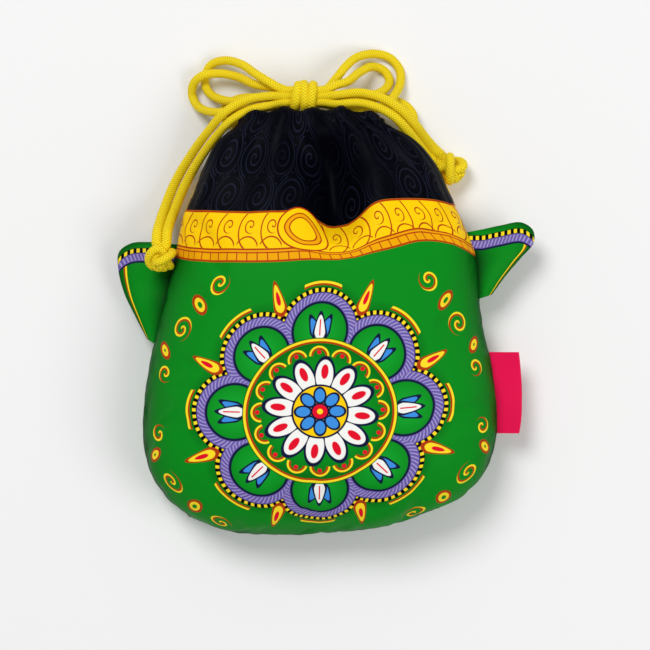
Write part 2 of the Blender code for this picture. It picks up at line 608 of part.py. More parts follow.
def build_ear(name, side, root, outline, tip_rise, materials):
    """A padded leaf of cloth, hollowed in front, whose root lies along the side seam."""
    along, out = 9, 6
    foot = seam_line(side, *root, along, SEW_GAP)
    free = spaced(smooth_curve(outline), 0.0005)[::-1]
    free[:, 0] = side * (BODY_WIDTH / 2 + free[:, 0])
    free = free[np.linspace(0, len(free) - 1, along).round().astype(int)]
    body = bmesh.new()
    layers = []
    for face_up in (True, False):
        rows = []
        for j in range(out + 1):
            reach = j / out
            row = []
            for i in range(along):
                x, y = mix(foot[i], free[i], reach)
                ends = math.sin(math.pi * i / (along - 1)) ** 0.5
                bulge = ends * math.sqrt(max(0.0, 1 - reach**2.2))
                half = mix(EAR_EDGE, EAR_CLOTH, bulge) / 2
                dish = EAR_HOLLOW * ends * math.sin(math.pi * min(1.0, 0.15 + reach))
                level = SEAM_HEIGHT + tip_rise * reach**1.5 - (dish if face_up else 0.4 * dish)
                row.append(body.verts.new((x, y, level + (half if face_up else -half))))
            rows.append(row)
        layers.append(rows)
    for face_up, rows in zip((True, False), layers, strict=True):
        for j in range(out):
            for i in range(along - 1):
                corners = [rows[j][i], rows[j + 1][i], rows[j + 1][i + 1], rows[j][i + 1]]
                face = body.faces.new(corners if face_up else corners[::-1])
                face.material_index = 1 if i >= along - 3 and face_up else 0
                face.smooth = True
    upper, lower = layers
    rim = [(j, 0) for j in range(out)] + [(out, i) for i in range(along)]
    rim += [(j, along - 1) for j in range(out - 1, -1, -1)] + [(0, i) for i in range(along - 2, 0, -1)]
    for (j, i), (k, m) in zip(rim, [*rim[1:], rim[0]], strict=True):
        body.faces.new([upper[j][i], upper[k][m], lower[k][m], lower[j][i]])
    bmesh.ops.remove_doubles(body, verts=body.verts, dist=1e-6)
    bmesh.ops.triangulate(body, faces=body.faces)
    bmesh.ops.recalc_face_normals(body, faces=body.faces)
    mesh = bpy.data.meshes.new(name)
    body.to_mesh(mesh)
    body.free()
    for made in materials:
        mesh.materials.append(made)
    return link(name, mesh)


def build_label(name, made):
    """A ribbon folded double, with both ends at the seam and its fold outwards."""
    low, high = LABEL_SPAN
    root = seam_line(1, low, high, 9, SEW_GAP)
    gap, ribbon = LABEL_FOLD_GAP / 2, LABEL_RIBBON
    bend = [(math.cos(a), math.sin(a)) for a in np.linspace(math.pi / 2, -math.pi / 2, 7)]
    reach = LABEL_WIDTH - gap - ribbon
    profile = [(0.0, gap + ribbon), *((reach + (gap + ribbon) * c, (gap + ribbon) * s) for c, s in bend)]
    profile += [(0.0, -gap - ribbon), (0.0, -gap)]
    profile += [*((reach + gap * c, gap * s) for c, s in reversed(bend)), (0.0, gap)]
    body = bmesh.new()
    rings = [[body.verts.new((x + out, y, SEAM_HEIGHT + up)) for out, up in profile] for x, y in root]
    for a, b in zip(rings, rings[1:], strict=False):
        for i in range(len(profile)):
            j = (i + 1) % len(profile)
            body.faces.new([a[i], a[j], b[j], b[i]])
    for last in (rings[0], rings[-1]):
        body.faces.new(last)
    body.normal_update()
    bmesh.ops.triangulate(body, faces=body.faces)
    bmesh.ops.recalc_face_normals(body, faces=body.faces)
    mesh = bpy.data.meshes.new(name)
    body.to_mesh(mesh)
    body.free()
    mesh.materials.append(made)
    return link(name, mesh)


def build_lofted(name, rings, made):
    """A closed solid through rings of points, with a flat cap on the first and the last."""
    body = bmesh.new()
    loops = [[body.verts.new(c) for c in points] for points in rings]
    for a, b in zip(loops, loops[1:], strict=False):
        for i in range(len(a)):
            j = (i + 1) % len(a)
            face = body.faces.new([a[i], a[j], b[j], b[i]])
            face.smooth = True
    for last in (loops[0], loops[-1]):
        body.faces.new(last)
    body.normal_update()
    bmesh.ops.triangulate(body, faces=body.faces)
    bmesh.ops.recalc_face_normals(body, faces=body.faces)
    mesh = bpy.data.meshes.new(name)
    body.to_mesh(mesh)
    body.free()
    mesh.materials.append(made)
    return link(name, mesh)


def build_bow_knot(made):
    """The middle of the bow: the cords' crossing, with two turns wrapped over it."""
    x, y, z = BOW_AT
    long, tall, deep = BOW_SIZE
    stations = ((-0.5, 0.86), (-0.42, 0.97), (-0.25, 1.0), (-0.08, 0.95), (0.0, 0.91), (0.08, 0.95),
                (0.25, 1.0), (0.42, 0.97), (0.5, 0.86))
    rings = []
    for at, share in stations:
        points = []
        for a in np.linspace(0, 2 * math.pi, 20, endpoint=False):
            c, s = math.cos(a), math.sin(a)
            square = (abs(c) ** 4 + abs(s) ** 4) ** -0.25
            points.append((x + at * long, y + share * square * c * tall / 2, z + share * square * s * deep / 2))
        rings.append(points)
    return build_lofted("bow_knot", rings, made)


def build_end_knot(name, at, tail_ends, made):
    """A stopper knot in both ends of one cord, flat where the two strands go in."""
    center = np.array(at)
    way = np.mean([end[-1] for end in tail_ends], axis=0) - center
    reach = np.linalg.norm(way)
    axis = Vector(way / reach)
    across = axis.cross(Vector((0, 0, 1))).normalized()
    up = across.cross(axis)
    width, length = END_KNOT_SIZE
    near = reach - KNOT_GAP
    profile = ((near, 0.80), (near - 0.0008, 0.93), (near - 0.0030, 1.0), (near - 0.0052, 0.93),
               (near - 0.0072, 0.99), (near - 0.0094, 0.86), (near - length + 0.0006, 0.55), (near - length, 0.32))
    rings = []
    for n, (along, share) in enumerate(profile):
        points = []
        for a in np.linspace(0, 2 * math.pi, 14, endpoint=False):
            r = share * width / 2 * (1 + 0.05 * math.cos(3 * a + 1.2 * n))
            points.append(tuple(Vector(at) + axis * along + across * (r * math.cos(a)) + up * (r * math.sin(a))))
        rings.append(points)
    return build_lofted(name, rings, made)


def build_cord(name, route, made):
    """A plain tube along a smooth curve through its route's points."""
    curve = bpy.data.curves.new(name, "CURVE")
    curve.dimensions = "3D"
    curve.bevel_depth = CORD_DIAMETER / 2
    curve.bevel_resolution = 2
    curve.use_fill_caps = True
    curve.twist_mode = "MINIMUM"
    line = smooth_curve(route)
    points = spaced(line, CORD_STEP)
    points = np.vstack([points[0], spaced(line, CORD_END)[1], points[1:-1], spaced(line, CORD_END)[-2], points[-1]])
    spline = curve.splines.new("POLY")
    spline.points.add(len(points) - 1)
    for place, point in zip(points, spline.points, strict=True):
        point.co = (*place, 1.0)
    spline.use_smooth = True
    curve.materials.append(made)
    return link(name, curve)


def main():
    clear_scene()
    black = material("black_cloth", (0.012, 0.013, 0.022), 0.62)
    gold = material("gold_print", (1.0, 0.62, 0.01), 0.5)
    green = material("green_print", (0.01, 0.27, 0.03), 0.5)
    purple = material("purple_print", (0.17, 0.13, 0.42), 0.5)
    white = material("white_print", (0.9, 0.9, 0.88), 0.5)
    blue = material("blue_print", (0.06, 0.30, 0.72), 0.5)
    red = material("red_print", (0.70, 0.02, 0.03), 0.5)
    printed = [black, gold, green, purple, white, blue, red]
    cord_yellow = material("yellow_cord", (1.0, 0.66, 0.01), 0.55)
    label_red = material("red_ribbon", (0.75, 0.005, 0.07), 0.5)
    ear_green = material("ear_cloth", (0.01, 0.25, 0.03), 0.5)
    ear_purple = material("ear_border", (0.17, 0.13, 0.42), 0.5)

    front = Panel(1, FRONT_CROWN, FRONT_PROFILE, FRONT_PLEAT)
    back = Panel(-1, BACK_CROWN, BACK_PROFILE, BACK_PLEAT)
    build_panel("front_panel", front, printed_shapes(), printed)
    build_panel("back_panel", back, [], printed)
    build_ear("left_ear", -1, LEFT_EAR_ROOT, LEFT_EAR_OUTLINE, LEFT_EAR_TIP_RISE, [ear_green, ear_purple])
    build_ear("right_ear", 1, RIGHT_EAR_ROOT, RIGHT_EAR_OUTLINE, RIGHT_EAR_TIP_RISE, [ear_green, ear_purple])
    build_label("side_label", label_red)
    build_bow_knot(cord_yellow)
    build_end_knot("left_end_knot", LEFT_END_KNOT_AT, (LEFT_TAIL_INNER, LEFT_TAIL_OUTER), cord_yellow)
    build_end_knot("right_end_knot", RIGHT_END_KNOT_AT, (RIGHT_TAIL_INNER, RIGHT_TAIL_OUTER), cord_yellow)
    routes = {
        "left_drawcord": LEFT_DRAWCORD,
        "right_drawcord": RIGHT_DRAWCORD,
        "left_loop_outer": LEFT_LOOP_OUTER,
        "left_loop_inner": LEFT_LOOP_INNER,
        "right_loop_outer": RIGHT_LOOP_OUTER,
        "right_loop_inner": RIGHT_LOOP_INNER,
        "left_tail_inner": LEFT_TAIL_INNER,
        "left_tail_outer": LEFT_TAIL_OUTER,
        "right_tail_inner": RIGHT_TAIL_INNER,
        "right_tail_outer": RIGHT_TAIL_OUTER,
    }
    for name, route in routes.items():
        build_cord(name, route, cord_yellow)


main()
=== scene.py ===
# %% [markdown]
# # A padded kinchaku pouch
# A kinchaku is a small Japanese drawstring bag. This one is cut from padded printed cloth, gathered at
# the mouth by two braided cords that are tied in a bow. It lies on its back, and the camera looks
# straight down on it. We load the measured solids first, and dress each of them in turn.

import math

import bmesh
import bpy
import numpy as np
from mathutils import Matrix, Vector
from mathutils.noise import noise as soft_noise


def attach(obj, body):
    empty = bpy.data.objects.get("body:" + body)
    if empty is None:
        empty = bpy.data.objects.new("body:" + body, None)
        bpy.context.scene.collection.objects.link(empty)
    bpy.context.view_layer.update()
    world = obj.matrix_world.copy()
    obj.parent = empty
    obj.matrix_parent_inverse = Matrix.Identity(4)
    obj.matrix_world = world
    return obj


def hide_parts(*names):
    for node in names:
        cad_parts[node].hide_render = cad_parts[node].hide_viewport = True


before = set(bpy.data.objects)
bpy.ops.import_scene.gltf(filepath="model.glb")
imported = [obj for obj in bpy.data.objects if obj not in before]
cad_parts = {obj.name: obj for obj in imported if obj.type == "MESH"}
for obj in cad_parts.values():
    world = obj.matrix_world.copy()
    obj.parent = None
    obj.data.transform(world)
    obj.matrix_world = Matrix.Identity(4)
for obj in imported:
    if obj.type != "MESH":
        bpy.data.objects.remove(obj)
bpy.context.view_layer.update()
scene = bpy.context.scene
scene.view_settings.view_transform = "Standard"

# %% [markdown]
# ## Camera, floor and light
# The picture was taken square on, from about an arm's length. A long lens far away flattens the view
# in the same way. The camera looks straight down, so its own up is the pouch's mouth.

# %% Camera
SEAM_HEIGHT = 0.013
PIXEL = 0.000366
FRAME_WIDTH = 650 * PIXEL
CAMERA_DISTANCE = 0.85
camera_data = bpy.data.cameras.new("camera")
camera_data.sensor_width = 36
camera_data.lens = 36 * CAMERA_DISTANCE / FRAME_WIDTH
camera = bpy.data.objects.new("camera", camera_data)
camera.location = (0.0018, 0.0092, SEAM_HEIGHT + CAMERA_DISTANCE)
scene.collection.objects.link(camera)
scene.camera = camera
print("lens", round(camera_data.lens, 1), "mm")

# %% [markdown]
# A big soft lamp stands to the upper left, and a weaker one to the right fills the shadows. The floor
# is plain and pale. Its colour is kept a little under white, so that the shadow still reads.

# %% Lamps and world
LAMP_TARGET = (0, 0, 0.02)
WORLD_STRENGTH = 0.36


def soft_lamp(name, place, size, watts):
    """A round area lamp that looks at the pouch."""
    data = bpy.data.lights.new(name, "AREA")
    data.shape = "DISK"
    data.size = size
    data.energy = watts
    lamp = bpy.data.objects.new(name, data)
    lamp.location = place
    lamp.rotation_euler = (Vector(place) - Vector(LAMP_TARGET)).to_track_quat("Z", "Y").to_euler()
    scene.collection.objects.link(lamp)


soft_lamp("window_lamp", (-0.60, 0.95, 1.70), 0.9, 22.0)
soft_lamp("fill_lamp", (1.10, -0.40, 1.30), 1.0, 10.0)
world = bpy.data.worlds.new("studio")
scene.world = world
world.use_nodes = True
background = world.node_tree.nodes["Background"]
background.inputs["Color"].default_value = (1, 1, 1, 1)
background.inputs["Strength"].default_value = WORLD_STRENGTH
print("lamps:", len(bpy.data.lights))

# %% Floor

FLOOR_HALF_WIDTH = 3.0
FLOOR_GREY = 0.90


def link(name, data):
    obj = bpy.data.objects.new(name, data)
    scene.collection.objects.link(obj)
    return obj


def finished(name, shape):
    """The bmesh as a mesh object."""
    mesh = bpy.data.meshes.new(name)
    shape.to_mesh(mesh)
    shape.free()
    return link(name, mesh)


def new_material(name):
    """A material with its tree and its shader."""
    made = bpy.data.materials.new(name)
    made.use_nodes = True
    return made, made.node_tree, made.node_tree.nodes["Principled BSDF"]


floor_shape = bmesh.new()
bmesh.ops.create_grid(floor_shape, x_segments=1, y_segments=1, size=FLOOR_HALF_WIDTH)
floor = finished("floor", floor_shape)
floor_paint, tree, shader = new_material("pale_floor")
shader.inputs["Base Color"].default_value = (FLOOR_GREY, FLOOR_GREY, FLOOR_GREY, 1)
shader.inputs["Roughness"].default_value = 0.9
floor.data.materials.append(floor_paint)
print("floor", 2 * FLOOR_HALF_WIDTH, "m wide")

# %% [markdown]
# ## Cord routes
# The real cord is 3.2 mm round braid. Each cord makes one turn through both hems and comes back to the
# bow, where its two ends form one loop each and hang down in a stopper knot. The points below are
# listed along each run. A Catmull-Rom curve passes through all of them, so a cord built on it
# bends like cord and not like wire.

# %% The points of each run
CORD_DIAMETER = 0.0032
CHANNEL_FRONT_Z = 0.02045
CHANNEL_BACK_Z = 0.00555
UPPER_ROW_Y = 0.0817
LOWER_ROW_Y = 0.0781
CORD_ROUTES = {
    "left_drawcord": (
        (-0.0115, 0.0893, 0.0094), (-0.0180, 0.0893, 0.0092), (-0.0250, 0.0890, 0.0093),
        (-0.0302, 0.0876, 0.0102), (-0.0326, 0.0848, 0.0122), (-0.0308, 0.0823, 0.0142),
        (-0.0266, UPPER_ROW_Y, 0.0150), (-0.0226, UPPER_ROW_Y, 0.0174),
        (-0.0170, UPPER_ROW_Y, CHANNEL_FRONT_Z), (-0.0020, UPPER_ROW_Y, CHANNEL_FRONT_Z),
        (0.0125, UPPER_ROW_Y, CHANNEL_FRONT_Z), (0.0163, UPPER_ROW_Y, 0.0192),
        (0.0188, UPPER_ROW_Y, 0.0164), (0.0194, UPPER_ROW_Y, SEAM_HEIGHT), (0.0188, UPPER_ROW_Y, 0.0096),
        (0.0163, UPPER_ROW_Y, 0.0068), (0.0125, UPPER_ROW_Y, CHANNEL_BACK_Z),
        (-0.0020, UPPER_ROW_Y, CHANNEL_BACK_Z), (-0.0170, UPPER_ROW_Y, CHANNEL_BACK_Z),
        (-0.0208, UPPER_ROW_Y, 0.0070), (-0.0237, UPPER_ROW_Y, 0.0094), (-0.0266, UPPER_ROW_Y, 0.0109),
        (-0.0308, 0.0822, 0.0098), (-0.0350, 0.0850, 0.0072), (-0.0352, 0.0893, 0.0054),
        (-0.0305, 0.0926, 0.0050), (-0.0220, 0.0931, 0.0068), (-0.0165, 0.0928, 0.0088),
        (-0.0115, 0.0928, 0.0094),
    ),
    "right_drawcord": (
        (-0.0003, 0.0893, 0.0094), (0.0080, 0.0895, 0.0088), (0.0180, 0.0893, 0.0086),
        (0.0258, 0.0877, 0.0092), (0.0306, 0.0837, 0.0112), (0.0300, 0.0797, 0.0138),
        (0.0256, 0.0782, 0.0150), (0.0210, LOWER_ROW_Y, 0.0166), (0.0172, LOWER_ROW_Y, 0.0192),
        (0.0130, LOWER_ROW_Y, CHANNEL_FRONT_Z), (-0.0020, LOWER_ROW_Y, CHANNEL_FRONT_Z),
        (-0.0165, LOWER_ROW_Y, CHANNEL_FRONT_Z), (-0.0203, LOWER_ROW_Y, 0.0192),
        (-0.0228, LOWER_ROW_Y, 0.0164), (-0.0234, LOWER_ROW_Y, SEAM_HEIGHT), (-0.0228, LOWER_ROW_Y, 0.0096),
        (-0.0203, LOWER_ROW_Y, 0.0068), (-0.0165, LOWER_ROW_Y, CHANNEL_BACK_Z),
        (-0.0020, LOWER_ROW_Y, CHANNEL_BACK_Z), (0.0130, LOWER_ROW_Y, CHANNEL_BACK_Z),
        (0.0174, LOWER_ROW_Y, 0.0066), (0.0214, LOWER_ROW_Y, 0.0092), (0.0262, 0.0782, 0.0108),
        (0.0314, 0.0798, 0.0096), (0.0346, 0.0842, 0.0066), (0.0328, 0.0894, 0.0038),
        (0.0262, 0.0927, 0.0034), (0.0160, 0.0932, 0.0056), (0.0060, 0.0929, 0.0086),
        (-0.0003, 0.0928, 0.0094),
    ),
    "left_loop_outer": (
        (-0.0115, 0.0962, 0.0165), (-0.0170, 0.0971, 0.0163), (-0.0225, 0.1003, 0.0142),
        (-0.0290, 0.1050, 0.0095), (-0.0355, 0.1069, 0.0050), (-0.0403, 0.1056, 0.0024),
        (-0.0424, 0.1022, 0.0019), (-0.0426, 0.0985, 0.0022), (-0.0412, 0.0953, 0.0040),
        (-0.0378, 0.0927, 0.0078), (-0.0325, 0.0912, 0.0118), (-0.0240, 0.0920, 0.0134),
        (-0.0170, 0.0929, 0.0132), (-0.0115, 0.0928, 0.0130),
    ),
    "left_loop_inner": (
        (-0.0115, 0.0962, 0.0130), (-0.0175, 0.0963, 0.0122), (-0.0240, 0.0976, 0.0100),
        (-0.0305, 0.1008, 0.0060), (-0.0372, 0.1020, 0.0060), (-0.0432, 0.1012, 0.0064),
        (-0.0468, 0.0984, 0.0040), (-0.0474, 0.0944, 0.0022), (-0.0456, 0.0905, 0.0044),
        (-0.0415, 0.0878, 0.0096), (-0.0360, 0.0868, 0.0146), (-0.0300, 0.0872, 0.0162),
        (-0.0230, 0.0886, 0.0148), (-0.0170, 0.0893, 0.0133), (-0.0115, 0.0893, 0.0130),
    ),
    "right_loop_outer": (
        (-0.0003, 0.0962, 0.0130), (0.0022, 0.0966, 0.0126), (0.0055, 0.0992, 0.0114),
        (0.0092, 0.1040, 0.0090), (0.0135, 0.1079, 0.0060), (0.0200, 0.1096, 0.0030),
        (0.0258, 0.1082, 0.0019), (0.0294, 0.1040, 0.0019), (0.0298, 0.0995, 0.0027),
        (0.0284, 0.0955, 0.0058), (0.0258, 0.0918, 0.0100), (0.0224, 0.0890, 0.0132),
        (0.0165, 0.0878, 0.0146), (0.0080, 0.0887, 0.0136), (-0.0003, 0.0893, 0.0130),
    ),
    "right_loop_inner": (
        (-0.0003, 0.0962, 0.0165), (0.0022, 0.0963, 0.0164), (0.0056, 0.0968, 0.0153),
        (0.0102, 0.0984, 0.0128), (0.0145, 0.1022, 0.0082), (0.0196, 0.1048, 0.0034),
        (0.0238, 0.1034, 0.0019), (0.0256, 0.0998, 0.0024), (0.0240, 0.0962, 0.0062),
        (0.0200, 0.0938, 0.0106), (0.0145, 0.0929, 0.0126), (0.0070, 0.0928, 0.0130),
        (-0.0003, 0.0928, 0.0130),
    ),
    "left_tail_inner": (
        (-0.0115, 0.0893, 0.0165), (-0.0180, 0.0890, 0.0184), (-0.0250, 0.0874, 0.0202),
        (-0.0318, 0.0838, 0.0202), (-0.0382, 0.0776, 0.0154), (-0.0445, 0.0696, 0.0105),
        (-0.0498, 0.0604, 0.0082), (-0.0532, 0.0520, 0.0100), (-0.0549, 0.0464, 0.0150),
        (-0.0556, 0.0426, 0.0192), (-0.0557, 0.0392, 0.0208),
    ),
    "left_tail_outer": (
        (-0.0115, 0.0928, 0.0165), (-0.0180, 0.0926, 0.0182), (-0.0262, 0.0911, 0.0200),
        (-0.0342, 0.0868, 0.0198), (-0.0408, 0.0800, 0.0146), (-0.0473, 0.0718, 0.0095),
        (-0.0532, 0.0621, 0.0072), (-0.0568, 0.0530, 0.0094), (-0.0585, 0.0466, 0.0150),
        (-0.0592, 0.0426, 0.0192), (-0.0593, 0.0392, 0.0208),
    ),
    "right_tail_inner": (
        (-0.0003, 0.0893, 0.0165), (0.0060, 0.0896, 0.0174), (0.0140, 0.0900, 0.0188),
        (0.0215, 0.0880, 0.0196), (0.0272, 0.0846, 0.0196), (0.0318, 0.0801, 0.0170),
        (0.0358, 0.0757, 0.0116), (0.0395, 0.0718, 0.0068), (0.0424, 0.0692, 0.0058),
    ),
    "right_tail_outer": (
        (-0.0003, 0.0928, 0.0165), (0.0060, 0.0931, 0.0174), (0.0150, 0.0937, 0.0188),
        (0.0232, 0.0914, 0.0194), (0.0296, 0.0874, 0.0188), (0.0344, 0.0827, 0.0156),
        (0.0383, 0.0782, 0.0104), (0.0418, 0.0745, 0.0066), (0.0447, 0.0719, 0.0058),
    ),
}
print("runs of cord:", len(CORD_ROUTES))

# %% [markdown]
# ## Braided cord
# A tube is easiest to get from Blender's own curve bevel. We then turn it into a mesh, because the
# braid needs to know how far along and how far round each point is. The rings come out in order, so
# that is easy to write into a UV map: across is the turn round the cord, up is the length in metres.
# Each ring is swollen or pinched a little, so the ribs of the braid also show in the outline.

# %% Curve helpers


def mix(a, b, share):
    return a + (b - a) * share


def smoothstep(low, high, value):
    t = np.clip((value - low) / (high - low), 0.0, 1.0)
    return t * t * (3 - 2 * t)


def smooth_curve(points, samples=16):
    """A dense centripetal Catmull-Rom curve through the points, as rows."""
    points = np.array(points, float)
    points = np.vstack([2 * points[0] - points[1], points, 2 * points[-1] - points[-2]])
    dense = []
    for a, b, c, d in zip(points, points[1:], points[2:], points[3:], strict=False):
        steps = [math.sqrt(max(np.linalg.norm(y - x), 1e-9)) for x, y in ((a, b), (b, c), (c, d))]
        t0, t1, t2, t3 = np.cumsum([0.0, *steps])
        for t in np.linspace(t1, t2, samples, endpoint=False):
            ab = mix(a, b, (t - t0) / (t1 - t0))
            bc = mix(b, c, (t - t1) / (t2 - t1))
            cd = mix(c, d, (t - t2) / (t3 - t2))
            early = mix(ab, bc, (t - t0) / (t2 - t0))
            late = mix(bc, cd, (t - t1) / (t3 - t1))
            dense.append(mix(early, late, (t - t1) / (t2 - t1)))
    return np.array([*dense, points[-2]])


def along_line(line):
    """How far along the line each of its points is."""
    return np.concatenate([[0.0], np.cumsum(np.linalg.norm(np.diff(line, axis=0), axis=1))])


def spaced(line, step):
    """The line again, with its points about one step apart."""
    along = along_line(line)
    at = np.linspace(0.0, along[-1], max(2, math.ceil(along[-1] / step) + 1))
    return np.stack([np.interp(at, along, line[:, k]) for k in range(line.shape[1])], axis=1)


def length_of(line):
    return float(np.linalg.norm(np.diff(line, axis=0), axis=1).sum())


# %% A braided tube along a line
CORD_SIDES = 20
RING_STEP = 0.0004
RIB_PITCH = 0.0009
RIB_HEIGHT = 0.00006
RIB_MIDDLE = 0.6


def braided_tube(name, line, closed=False, radius=CORD_DIAMETER / 2, swell=None):
    """A mesh tube with its turn and its length in a UV map. Swell gives a factor on the radius along it."""
    line = spaced(line, RING_STEP)
    if closed:
        line = line[:-1]
    curve = bpy.data.curves.new(name, "CURVE")
    curve.dimensions = "3D"
    curve.bevel_depth = radius
    curve.bevel_resolution = CORD_SIDES // 2 - 2
    curve.twist_mode = "MINIMUM"
    spline = curve.splines.new("POLY")
    spline.points.add(len(line) - 1)
    spline.points.foreach_set("co", np.hstack([line, np.ones((len(line), 1))]).ravel())
    spline.use_cyclic_u = closed
    maker = bpy.data.objects.new(name + "_curve", curve)
    mesh = bpy.data.meshes.new_from_object(maker)
    bpy.data.objects.remove(maker)
    mesh.name = name
    sides = len(mesh.vertices) // len(line)
    places = np.empty(len(mesh.vertices) * 3)
    mesh.vertices.foreach_get("co", places)
    places = places.reshape(-1, 3)
    ring, turn = np.divmod(np.arange(len(places)), sides)
    along = ring * (length_of(line) / max(len(line) - 1, 1))
    rib = np.abs(np.sin(math.pi * along / RIB_PITCH + (turn % 2) * math.pi / 2))
    grown = 1 + RIB_HEIGHT / radius * (rib - RIB_MIDDLE)
    if swell is not None:
        grown = grown * swell(along / along[-1])
    middle = line[ring]
    places = middle + (places - middle) * grown[:, None]
    mesh.vertices.foreach_set("co", places.ravel())
    uv = mesh.uv_layers.new(name="cord_uv") if not mesh.uv_layers else mesh.uv_layers[0]
    uv.name = "cord_uv"
    corners = np.empty(len(mesh.loops), int)
    mesh.loops.foreach_get("vertex_index", corners)
    first = np.repeat([p.loop_start for p in mesh.polygons], [p.loop_total for p in mesh.polygons])
    across, up = turn[corners] / sides, along[corners]
    across += (across - across[first] < -0.5) * 1.0 - (across - across[first] > 0.5) * 1.0
    if closed:
        whole = along[-1] + along[-1] / (len(line) - 1)
        up = up + (up - up[first] < -whole / 2) * whole - (up - up[first] > whole / 2) * whole
    uv.data.foreach_set("uv", np.stack([across, up], axis=1).ravel())
    shape = bmesh.new()
    shape.from_mesh(mesh)
    bmesh.ops.holes_fill(shape, edges=[e for e in shape.edges if e.is_boundary])
    shape.to_mesh(mesh)
    shape.free()
    mesh.shade_smooth()
    return link(name, mesh)


# %% Where the runs squeeze together under the bow's wraps
BOW_AT = np.array((-0.0059, 0.0925, 0.0130))
SQUEEZE_REACH = 0.0075
SQUEEZE = 0.38


def squeezed(line, both_ends):
    """The line with its ends drawn in towards the middle of the bow."""
    along = along_line(line)
    near = np.minimum(along, along[-1] - along) if both_ends else along
    pull = SQUEEZE * (1 - smoothstep(0.0, SQUEEZE_REACH, near))
    for k in (1, 2):
        line[:, k] = mix(line[:, k], BOW_AT[k], pull)
    return line


# %% Ten runs of cord
TAIL_SWELL = (0.94, 0.22)
END_KNOTS = {"left": (-0.0575, 0.0328, 0.0226), "right": (0.0483, 0.0662, 0.0062)}
ROUTE_STEP = 0.0005
INTO_BOW = 0.003
cord_pieces, cord_lines = {}, {}
for name, route in CORD_ROUTES.items():
    tail = "tail" in name
    line = squeezed(spaced(smooth_curve(route), ROUTE_STEP), not tail)
    inward = np.array((np.sign(BOW_AT[0] - line[0, 0]) * INTO_BOW, 0, 0))
    last = line[-1] + inward
    if tail:
        last = mix(line[-1], np.array(END_KNOTS[name.split("_")[0]]), 0.5)
    cord_lines[name] = np.vstack([line[0] + inward, line, last])
    swell = (lambda share: TAIL_SWELL[0] + TAIL_SWELL[1] * smoothstep(0.15, 0.9, share)) if tail else None
    cord_pieces[name] = braided_tube(name + "_braid", cord_lines[name], swell=swell)
    print(name, round(length_of(cord_lines[name]) * 1000), "mm")

# %% [markdown]
# ## Knots
# Each side's two tails end in one tight stopper knot. A torus knot with three lobes winds round a ring
# as a tied cord does, so two such strands, one a little wider than the other, give the right lump. The
# bow's middle is wrapped by the cord itself: three turns side by side, each an oval round the bundle.

# %% Stopper knots
KNOT_RING = 0.0021
KNOT_LIFT = 0.0012
KNOT_STRAND = 0.00150
KNOT_STRANDS = ((-0.00115, -0.0004), (0.00125, 0.0006))
KNOTS_TURNED = {"left": (0.3, 1.0), "right": (1.57, 1.2)}


def stopper_knot(name, at, toward, roll, size):
    """Two strands tied together in one tight knot, with its axis towards the tails that go in."""
    turns = np.linspace(0, 2 * math.pi, 160)
    way = Vector(toward) - Vector(at)
    basis = way.to_track_quat("Z", "Y").to_matrix() @ Matrix.Rotation(roll, 3, "Z")
    strands = []
    radius = KNOT_STRAND * (1 + size) / 2
    for number, (spread, raise_by) in enumerate(KNOT_STRANDS):
        ring = size * (KNOT_RING + KNOT_LIFT * np.cos(3 * turns)) + spread
        lift = raise_by + size * 2.1 * KNOT_LIFT * np.sin(3 * turns)
        local = np.stack([ring * np.cos(2 * turns), ring * np.sin(2 * turns), lift], axis=1)
        placed = np.array([Vector(at) + basis @ Vector(c) for c in local])
        strands.append(braided_tube(f"{name}_{number}", placed, closed=True, radius=radius))
    return joined(name, strands)


def joined(name, parts):
    """One object made of several, with their UV maps kept."""
    shape = bmesh.new()
    for part in parts:
        shape.from_mesh(part.data)
        bpy.data.objects.remove(part)
    obj = finished(name, shape)
    obj.data.shade_smooth()
    return obj


def tail_end(side):
    return np.mean([CORD_ROUTES[f"{side}_tail_{run}"][-1] for run in ("inner", "outer")], axis=0)


knot_pieces = {
    side: stopper_knot(f"{side}_stopper", at, tail_end(side), *KNOTS_TURNED[side])
    for side, at in END_KNOTS.items()
}
print("stopper knots:", len(knot_pieces))

# %% The bow's wraps
WRAPS = ((-0.0027, 0.16, 0.96), (0.0002, -0.05, 1.04), (0.0029, 0.10, 0.98))
WRAP_TALL = 0.0045
WRAP_DEEP = 0.0046
WRAP_RADIUS = 0.00175
WRAP_SQUARE = 0.85


def bow_wrap(number, along, lean, size):
    """One turn of cord round the bow's bundle."""
    turns = np.linspace(0, 2 * math.pi, 90)
    y = size * WRAP_TALL * np.sign(np.sin(turns)) * np.abs(np.sin(turns)) ** WRAP_SQUARE
    z = size * WRAP_DEEP * np.sign(np.cos(turns)) * np.abs(np.cos(turns)) ** WRAP_SQUARE
    oval = BOW_AT + np.stack([along + lean * y, y, z], axis=1)
    return braided_tube(f"bow_wrap_{number}", oval, closed=True, radius=WRAP_RADIUS)


wraps = [bow_wrap(number, *wrap) for number, wrap in enumerate(WRAPS)]
print("wraps:", len(wraps))

# %% [markdown]
# ## Cloth on a flat pattern
# Each panel starts as a flat rectangle of cloth. `Panel` says where every point of that rectangle
# goes: p is measured across and q up from the bottom seam, both in metres. The same two numbers
# become the UV map, so the print follows the cloth as it would on real fabric: it bends over the
# padding, sinks into the fold and closes up in the gathers.

